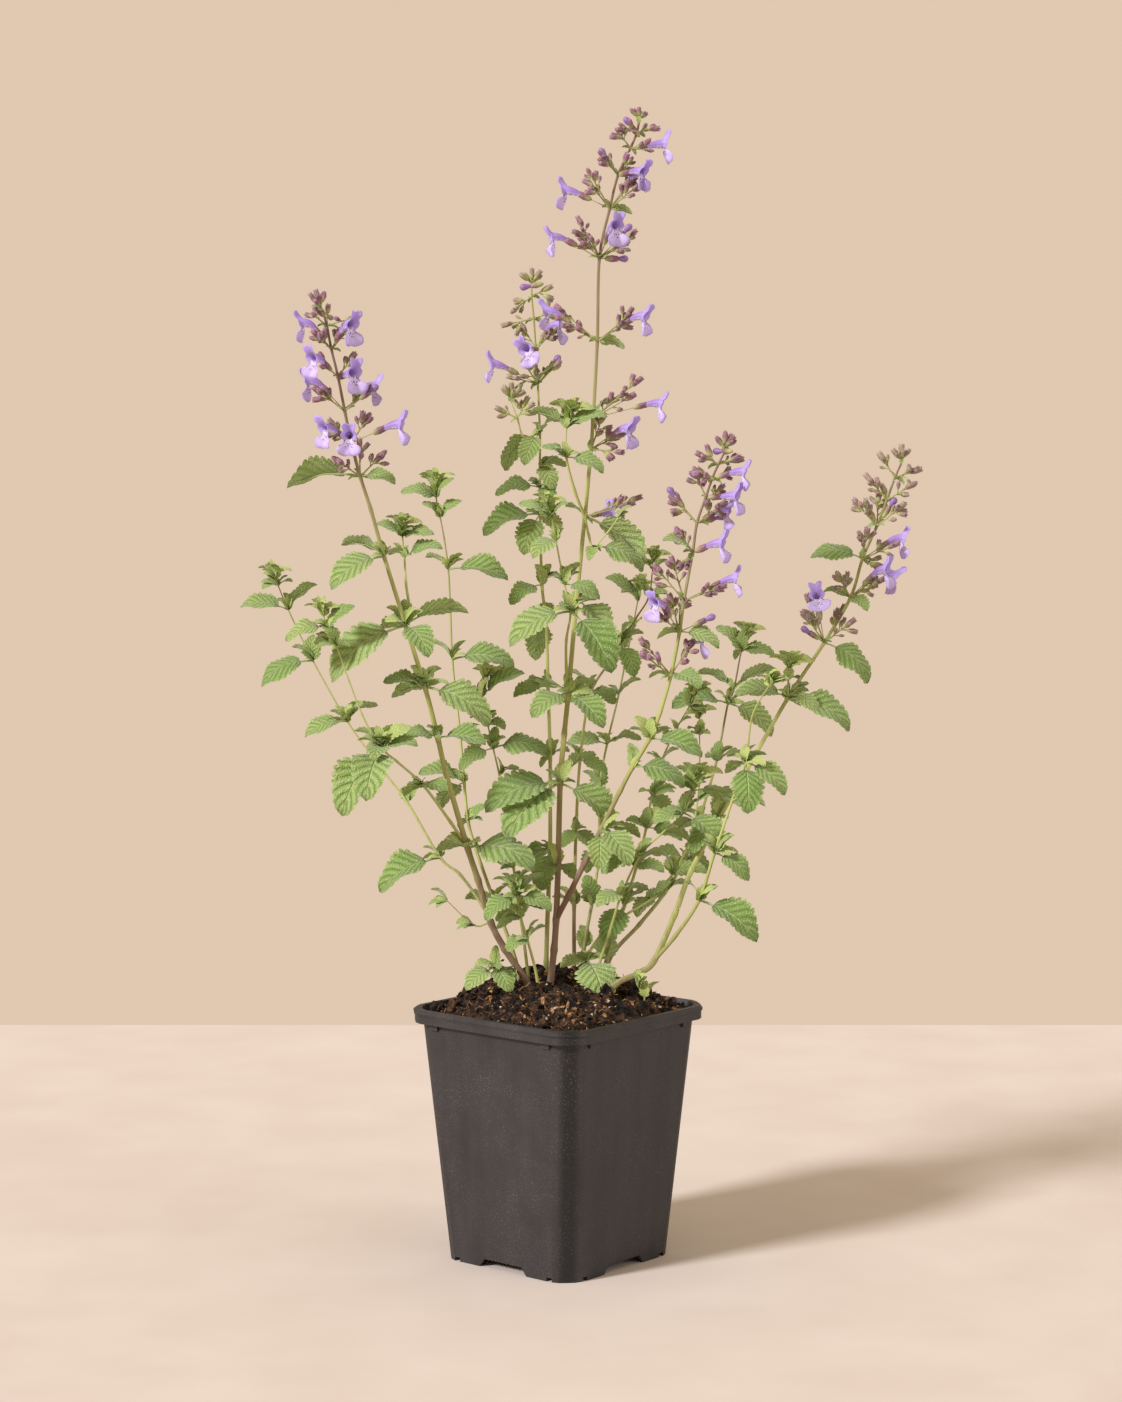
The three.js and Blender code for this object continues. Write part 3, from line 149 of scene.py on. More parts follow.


# Black polypropylene, injection moulded: a soft sheen broken by a fine grain and pale dust, with a
# painted shade of near black down the corners. Grain and dust are drawn coarser than real.
pot_plastic, tree = empty_material("black_polypropylene")
place = add(tree, "ShaderNodeTexCoord").outputs["Object"]
drawn = add(tree, "ShaderNodeMapping", {"Vector": place, "Scale": [1000 / mm for mm in POT_FLOW]})
flow = add(tree, "ShaderNodeTexNoise", {"Vector": drawn, "Scale": 1.0, "Detail": 4.0})
grain = add(tree, "ShaderNodeTexNoise", {"Vector": place, "Scale": 1000 / POT_GRAIN, "Detail": 3.0})
scuff = add(tree, "ShaderNodeTexNoise", {"Vector": place, "Scale": 1000 / POT_SCUFF, "Detail": 8.0,
                                         "Roughness": 0.65})
specks = add(tree, "ShaderNodeTexVoronoi", {"Vector": place, "Scale": 1000 / POT_SPECK})
is_speck = add(tree, "ShaderNodeMapRange", {"Value": specks, "From Min": 0.1,
                                            "From Max": 0.28, "To Min": 0.6, "To Max": 0.0})
some = add(tree, "ShaderNodeMapRange", {"Value": scuff, "From Min": 0.36, "From Max": 0.85})
dusty = add(tree, "ShaderNodeMath", {0: is_speck, 1: some}, operation="MULTIPLY")
cloudy = add(tree, "ShaderNodeMath", {0: scuff, 1: 0.8, 2: flow}, operation="MULTIPLY_ADD")
worn = add(tree, "ShaderNodeMapRange", {"Value": cloudy, "From Min": 0.65, "From Max": 1.2,
                                        "To Max": 0.8})
tone = add(tree, "ShaderNodeMix", {0: worn, 6: linear(POT_BLACK), 7: linear(POT_WORN)}, data_type="RGBA")
from_middle = add(tree, "ShaderNodeMapping", {"Vector": place,
                                              "Location": (-pot_middle.x, -pot_middle.y, 0)})
reach = add(tree, "ShaderNodeVectorMath", {0: from_middle}, operation="ABSOLUTE")
two_ways = add(tree, "ShaderNodeSeparateXYZ", {0: reach})
apart = add(tree, "ShaderNodeMath", {0: two_ways.outputs[0], 1: two_ways.outputs[1]}, operation="SUBTRACT")
off_corner = add(tree, "ShaderNodeMath", {0: apart}, operation="ABSOLUTE")
# Painted shade: the colour darkens to near black down each corner.
corner = add(tree, "ShaderNodeMapRange", {"Value": off_corner, "From Min": POT_CORNER_HALF,
                                          "From Max": POT_CORNER_CORE}, interpolation_type="SMOOTHSTEP")
corner_shaded = add(tree, "ShaderNodeMix", {0: corner, 6: tone, 7: linear(POT_CORNER_SHADE)}, data_type="RGBA")
colour = add(tree, "ShaderNodeMix", {0: dusty, 6: corner_shaded, 7: linear(POT_DUST)}, data_type="RGBA")
rough = add(tree, "ShaderNodeMapRange", {"Value": scuff, "To Min": 0.42, "To Max": 0.66})
relief = add(tree, "ShaderNodeBump", {"Height": grain, "Strength": 0.4, "Distance": 0.0003})
plastic = add(tree, "ShaderNodeBsdfPrincipled", {"Base Color": colour, "IOR": 1.49,
                                                 "Roughness": rough, "Normal": relief})
add(tree, "ShaderNodeOutputMaterial", {"Surface": plastic})

shell = bmesh.new()
shell.from_mesh(frame["nodes"]["pot"].data)
bmesh.ops.remove_doubles(shell, verts=shell.verts, dist=1e-6)
bmesh.ops.dissolve_limit(shell, angle_limit=math.radians(1), verts=shell.verts, edges=shell.edges)
lip_foot = pot_high.z - POT_LIP
for level in (lip_foot, lip_foot - 2 * POT_LIP_OUT):
    bmesh.ops.bisect_plane(shell, geom=shell.verts[:] + shell.edges[:] + shell.faces[:],
                           plane_co=(0, 0, level), plane_no=(0, 0, 1))
shell.normal_update()
for v in shell.verts:
    out = v.co - pot_middle
    if v.co.z > lip_foot - 1e-6 and v.normal.xy.dot(out.xy) > 0:
        v.co.xy = (pot_middle + out * (1 + POT_LIP_OUT / (pot_high.x - pot_middle.x))).xy
pot_mesh = mesh_of("nursery_pot", shell)
pot_mesh.materials.append(pot_plastic)
pot_mesh.shade_smooth()
pot = shown("nursery_pot", pot_mesh)
bevel = pot.modifiers.new("moulded_edges", "BEVEL")
bevel.width = POT_EDGE
bevel.segments = 3
bevel.limit_method = "ANGLE"
bevel.angle_limit = EDGE_FROM
flat_walls = pot.modifiers.new("flat_walls", "WEIGHTED_NORMAL")
flat_walls.weight = 100
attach(pot, "root")
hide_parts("pot")

# ---------------------------------------------------------------- peat
# Damp black peat, filled to the rim by hand and heaped round the plant: a lumpy body with loose
# clods, crumbs, bark chips, root fibres and grains of perlite lying on it.
PEAT_SIDE = 102.3
PEAT_CHAMFER = 11.0
PEAT_FOOT_SIDE = 79.2
PEAT_FOOT_Z = 6.4
PEAT_EDGE_Z = 120
PEAT_HEAP = 15
PEAT_BANK = 6
RIM_HALF = 55
PEAT_CELLS = 120
# How high the crumb of the peat stands, and how far from lump to lump, in millimetres.
CRUMB_HIGH = 2.1
CRUMB_APART = 5.5
GRAIN_HIGH = 1.1
GRAIN_APART = 2.2
# How far the peat has sunk along the pot's wall, over the outer tenth of its half.
EDGE_SINK = 2.5
EDGE_SHARE = 0.1
# A root fibre's radius, as a share of its length, and how much thinner it is at its tip.
FIBRE_RADIUS = 0.024
FIBRE_TAPER = 0.6
PEAT_DARK = "#0d0906"
PEAT_BROWN = "#66492f"
BARK_RED = "#6b4829"
BARK_SPLIT = "#dcb67e"
FIBRE_RUST = "#6b4828"
FIBRE_STRAW = "#cfa873"
PERLITE_GREY = "#b9b2a4"
PERLITE_WHITE = "#ece8df"


def peat_height(x, y):
    """The peat's height at a place in the plant's frame: a low heap, clods and crumbs."""
    away = math.hypot(x, y) / RIM_HALF
    heap = PEAT_HEAP * math.exp(-away ** 3 * 1.4)
    bank = PEAT_BANK * min(1, max(0, y / 40)) * min(1, 3.4 - 3 * away)
    clods = (math.sin(x * 0.19 + 1.3) * math.cos(y * 0.23 - 0.4) + 0.6 * math.sin((x - y) * 0.31 + 2))
    crumbs = math.sin(x * 0.83 + y * 0.37) * math.cos(y * 0.71 - x * 0.29)
    return PEAT_EDGE_Z + heap + bank + 1.1 * clods + 0.66 * crumbs


def peat_material(name, dark, light, spacing):
    """Damp matt matter whose tone changes from lump to lump, spacing millimetres apart."""
    material, tree = empty_material(name)
    place = add(tree, "ShaderNodeTexCoord").outputs["Object"]
    lumps = add(tree, "ShaderNodeTexNoise", {"Vector": place, "Scale": 1000 / spacing, "Detail": 8.0,
                                             "Roughness": 0.75})
    fine = add(tree, "ShaderNodeTexNoise", {"Vector": place, "Scale": 4000 / spacing, "Detail": 4.0})
    share = add(tree, "ShaderNodeMapRange", {"Value": lumps, "From Min": 0.47, "From Max": 0.74})
    colour = add(tree, "ShaderNodeMix", {0: share, 6: linear(dark), 7: linear(light)}, data_type="RGBA")
    relief = add(tree, "ShaderNodeBump", {"Height": fine, "Strength": 0.9, "Distance": 0.0009})
    matt = add(tree, "ShaderNodeBsdfPrincipled", {"Base Color": colour, "Roughness": 0.9,
                                                  "Specular IOR Level": 0.25, "Normal": relief})
    add(tree, "ShaderNodeOutputMaterial", {"Surface": matt})
    return material


def run_nodes(host, tree, **values):
    """Runs a tree of geometry nodes on an object, and keeps what it makes as the plain mesh."""
    modifier = host.modifiers.new(tree.name, "NODES")
    modifier.node_group = tree
    for item in tree.interface.items_tree:
        if item.item_type == "SOCKET" and item.name in values:
            modifier[item.identifier] = values[item.name]
    bpy.context.view_layer.update()
    graph = bpy.context.evaluated_depsgraph_get()
    made = bpy.data.meshes.new_from_object(host.evaluated_get(graph), preserve_all_data_layers=True,
                                           depsgraph=graph)
    host.modifiers.remove(modifier)
    host.data = made
    return host


def geometry_tree(name, **sockets):
    """A new tree of geometry nodes with named inputs. Gives back the tree and its input node."""
    tree = bpy.data.node_groups.new(name, "GeometryNodeTree")
    tree.interface.new_socket("Geometry", in_out="INPUT", socket_type="NodeSocketGeometry")
    for label, kind in sockets.items():
        tree.interface.new_socket(label, in_out="INPUT", socket_type="NodeSocket" + kind)
    tree.interface.new_socket("Geometry", in_out="OUTPUT", socket_type="NodeSocketGeometry")
    return tree, add(tree, "NodeGroupInput").outputs


def end_tree(tree, given, last):
    """Ends a tree of geometry nodes: what its last node gives, made real and of the given material."""
    real = add(tree, "GeometryNodeRealizeInstances", {0: last})
    finished = add(tree, "GeometryNodeSetMaterial", {"Geometry": real, "Material": given["Material"]})
    add(tree, "NodeGroupOutput", {0: finished})


# Damp sphagnum peat, milled: nearly black between the lumps and brown where it has dried.
peat = peat_material("damp_peat", PEAT_DARK, PEAT_BROWN, 6)

bed = bmesh.new()
n = PEAT_CELLS
to_plant = PLANT_TO_WORLD.inverted()
half = PEAT_SIDE / 2
grid = []
for j in range(n + 1):
    for i in range(n + 1):
        x = (2 * i / n - 1) * half
        y = (2 * j / n - 1) * half
        squeeze = min(1, (2 * half - PEAT_CHAMFER) / max(abs(x) + abs(y), 1))
        spot = Vector((x * squeeze, y * squeeze, 0)) / 1000 + Vector((pot_middle.x, pot_middle.y, 0))
        mm = to_plant @ spot
        crumb = CRUMB_HIGH * noise.fractal(Vector((mm.x, mm.y, 3)) / CRUMB_APART, 0.9, 2.1, 5)
        grain = GRAIN_HIGH * noise.noise(Vector((mm.x, mm.y, 9)) / GRAIN_APART)
        sink = EDGE_SINK * max(0, max(abs(x), abs(y)) / half - (1 - EDGE_SHARE)) / EDGE_SHARE
        height = peat_height(mm.x, mm.y) + crumb + grain - sink
        rise = min(1, (height - PEAT_FOOT_Z) / (PEAT_EDGE_Z - PEAT_FOOT_Z))
        wall = PEAT_FOOT_SIDE + (PEAT_SIDE - PEAT_FOOT_SIDE) * rise
        spot = pot_middle + (spot - pot_middle) * (wall / PEAT_SIDE)
        spot.z = height / 1000
        grid.append(bed.verts.new(spot))
for j in range(n):
    for i in range(n):
        k = j * (n + 1) + i
        bed.faces.new([grid[k], grid[k + 1], grid[k + n + 2], grid[k + n + 1]])
around = [grid[i] for i in range(n)] + [grid[j * (n + 1) + n] for j in range(n)]
around += [grid[n * (n + 1) + i] for i in range(n, 0, -1)] + [grid[j * (n + 1)] for j in range(n, 0, -1)]
foot = []
for v in around:
    flat = (v.co - pot_middle) * (PEAT_FOOT_SIDE / PEAT_SIDE) + pot_middle
    foot.append(bed.verts.new((flat.x, flat.y, PEAT_FOOT_Z / 1000)))
for k in range(len(around)):
    after = (k + 1) % len(around)
    bed.faces.new([around[after], around[k], foot[k], foot[after]])
bed.faces.new(foot[::-1])
peat_mesh = mesh_of("peat_bed", bed)
peat_mesh.materials.append(peat)
peat_mesh.shade_smooth()
peat_bed = shown("peat_bed", peat_mesh)


def upper_faces(margin):
    """The peat's upper faces as a mesh, but for a margin of some millimetres along the pot's wall."""
    reach = (half - margin) / 1000
    top = bmesh.new()
    top.from_mesh(peat_mesh)
    outer = [face for face in top.faces if face.normal.z < 0.3
             or max(abs(v) for v in (face.calc_center_median() - pot_middle).xy) > reach]
    bmesh.ops.delete(top, geom=outer, context="FACES")
    return mesh_of("upper_faces", top)


# What lies loose on the peat. A tree of nodes strews shapes over its upper faces.
tree, given = geometry_tree("strewn", Shapes="Collection", Material="Material", Density="Float",
                            Apart="Float", Seed="Int", Smallest="Float", Largest="Float", Tilt="Float")
spots = add(tree, "GeometryNodeDistributePointsOnFaces",
            {"Mesh": given["Geometry"], "Distance Min": given["Apart"], "Density Max": given["Density"],
             "Seed": given["Seed"]}, distribute_method="POISSON")
least = add(tree, "ShaderNodeMath", {0: given["Tilt"], 1: -1.0}, operation="MULTIPLY")
low = add(tree, "ShaderNodeCombineXYZ", {0: least, 1: least})
high = add(tree, "ShaderNodeCombineXYZ", {0: given["Tilt"], 1: given["Tilt"], 2: 2 * math.pi})
spun = add(tree, "FunctionNodeRandomValue", {0: low, 1: high, "Seed": given["Seed"]},
           data_type="FLOAT_VECTOR")
turn = add(tree, "FunctionNodeEulerToRotation", {0: spun})
size = add(tree, "FunctionNodeRandomValue", {2: given["Smallest"], 3: given["Largest"],
                                             "Seed": given["Seed"]}, data_type="FLOAT")
shapes = add(tree, "GeometryNodeCollectionInfo", {"Collection": given["Shapes"], "Separate Children": True,
                                                  "Reset Children": True})
laid = add(tree, "GeometryNodeInstanceOnPoints",
           {"Points": spots, "Instance": shapes, "Pick Instance": True,
            "Rotation": turn, "Scale": size})
end_tree(tree, given, laid)
strewn = tree


def shape_set(name, meshes):
    """Shapes that a tree of nodes picks from. They stay out of the scene."""
    shapes = bpy.data.collections.new(name)
    for k, mesh in enumerate(meshes):
        shapes.objects.link(bpy.data.objects.new(f"{name}_{k}", mesh))
    return shapes


def drop_shapes(shapes):
    """Takes a set of shapes away once it has been used."""
    for shape in list(shapes.objects):
        bpy.data.objects.remove(shape)
    bpy.data.collections.remove(shapes)


def lump(name, seed, detail, stretch, unevenness):
    """An uneven lump about one unit across."""
    made = bmesh.new()
    bmesh.ops.create_icosphere(made, subdivisions=detail, radius=0.5)
    for v in made.verts:
        swell = 1 + unevenness * noise.noise(v.co * 2.6 + Vector((seed * 7.1, 0, seed)))
        v.co = Vector((v.co.x * stretch[0], v.co.y * stretch[1], v.co.z * stretch[2])) * swell
    return mesh_of(name, made)


def lump_set(name, count, detail, stretches, unevenness):
    """A set of lumps, stretched in turn by each of some stretches."""
    return [lump(name, k, detail, stretches[k % len(stretches)], unevenness) for k in range(count)]


def fibre(name, seed):
    """A bent root fibre about one unit long, with three sides."""
    made = bmesh.new()
    chance = random.Random(seed)
    bend = chance.uniform(-0.5, 0.5)
    rings = []
    for k in range(6):
        s = k / 5
        middle = Vector((s - 0.5, bend * s * (1 - s), 0.12 * math.sin(5 * s + seed)))
        radius = FIBRE_RADIUS * (1 - FIBRE_TAPER * s)
        rings.append([made.verts.new(middle + Vector((0, radius * math.cos(a), radius * math.sin(a))))
                      for a in (0, 2 * math.pi / 3, 4 * math.pi / 3)])
    for low, high in zip(rings, rings[1:]):
        for k in range(3):
            made.faces.new([low[k], low[(k + 1) % 3], high[(k + 1) % 3], high[k]])
    made.faces.new(rings[0][::-1])
    made.faces.new(rings[-1])
    return mesh_of(name, made)


# How lumps and flat chips are stretched, each along its length, width and height.
LUMPY = [(1, 0.8, 0.7), (0.9, 1, 0.6), (1.1, 0.7, 0.8), (0.8, 0.9, 0.9)]
FLAT = [(1.6, 0.6, 0.22), (1.2, 0.8, 0.2), (1.9, 0.45, 0.3)]
# Pine bark, shredded: red brown, and pale where it has split.
bark = peat_material("pine_bark", BARK_RED, BARK_SPLIT, 3)
# Root and sphagnum fibres, dry: straw to rust.
fibres = peat_material("root_fibre", FIBRE_RUST, FIBRE_STRAW, 4)
# Perlite: expanded volcanic glass, white and matt. Its grain is drawn coarser than real.
perlite = peat_material("perlite", PERLITE_GREY, PERLITE_WHITE, 1.5)
STREWN = [
    # Name, shapes, material, how many on a square metre, how far apart, smallest, largest and margin
    # to the wall in millimetres, tilt in radians, seed.
    ("peat_clods", lump_set("clod", 5, 2, LUMPY, 1.1), peat, 17000, 3.6, 2.6, 8.5, 6.0, 3.1, 3),
    ("peat_crumbs", lump_set("crumb", 5, 1, LUMPY, 1.0), peat, 150000, 1.3, 0.8, 2.4, 2.0, 3.1, 5),
    ("bark_chips", lump_set("chip", 5, 1, FLAT, 0.8), bark, 80000, 1.8, 0.7, 3.6, 3.0, 0.9, 8),
    ("root_fibres", [fibre("fibre", k) for k in range(5)], fibres, 30000, 2.5, 3.0, 9.0, 5.5, 0.5, 12),
    ("perlite_grains", lump_set("grain", 3, 1, LUMPY, 0.5), perlite, 5500, 5.0, 0.9, 2.3, 3.0, 3.1, 20),
]
for name, meshes, material, density, apart, smallest, largest, margin, tilt, seed in STREWN:
    shapes = shape_set(name, meshes)
    bits = shown(name, upper_faces(margin))
    run_nodes(bits, strewn, Shapes=shapes, Material=material, Density=float(density), Apart=apart / 1000,
              Seed=seed, Smallest=smallest / 1000, Largest=largest / 1000, Tilt=tilt)
    drop_shapes(shapes)
    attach(bits, "root")
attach(peat_bed, "root")
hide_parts("soil")

# ---------------------------------------------------------------- how the plant has grown
# Each stem rises from the crown through its joints. A joint bears leaves, flowers, buds, short
# branched flower stalks or shoots; a growth's numbers reach from its joint to its tip, in
# millimetres in the plant's frame.


def leaf(x, y, z):
    """A leaf with its tip x, y and z away from its joint."""
    return {"kind": "leaf", "reach": Vector((x, y, z))}


def flower(x, y, z):
    """An open flower, and where its mouth is from its joint."""
    return {"kind": "flower", "reach": Vector((x, y, z))}


def bud(x, y, z):
    """A furled flower, and where its tip is from its joint."""
    return {"kind": "bud", "reach": Vector((x, y, z))}


def cyme(x, y, z, count):
    """A flower stalk that ends in a cluster of calyces."""
    return {"kind": "cyme", "reach": Vector((x, y, z)), "count": count}


def rosette(count, length):
    """Crosswise pairs of young leaves that close over the growing tip."""
    leaves = []
    for k in range(count):
        rise = math.radians(12 + 56 * k / count)
        bearing = math.pi / 2 * (k // 2) + math.pi * (k % 2)
        way = Vector((math.cos(bearing) * math.cos(rise), math.sin(bearing) * math.cos(rise),
                      math.sin(rise)))
        leaves.append({"kind": "leaf", "reach": way * length * (1 - 0.4 * k / count), "young": True})
    return leaves


def shoot(foot, top, joints):
    """A side shoot: its radius at the foot and at the top, and its joints."""
    return {"kind": "shoot", "foot": foot, "top": top, "joints": joints}


def at(x, y, z, *grows):
    """A joint at a place in the plant's frame, and what grows there."""
    flat = [g for group in grows for g in (group if isinstance(group, list) else [group])]
    return {"place": Vector((x, y, z)), "grows": flat}


def stem(name, foot, top, joints):
    """A stem, named for its solid: its radius at the foot and at the top, and its joints."""
    return {"name": name, "foot": foot, "top": top, "joints": joints}


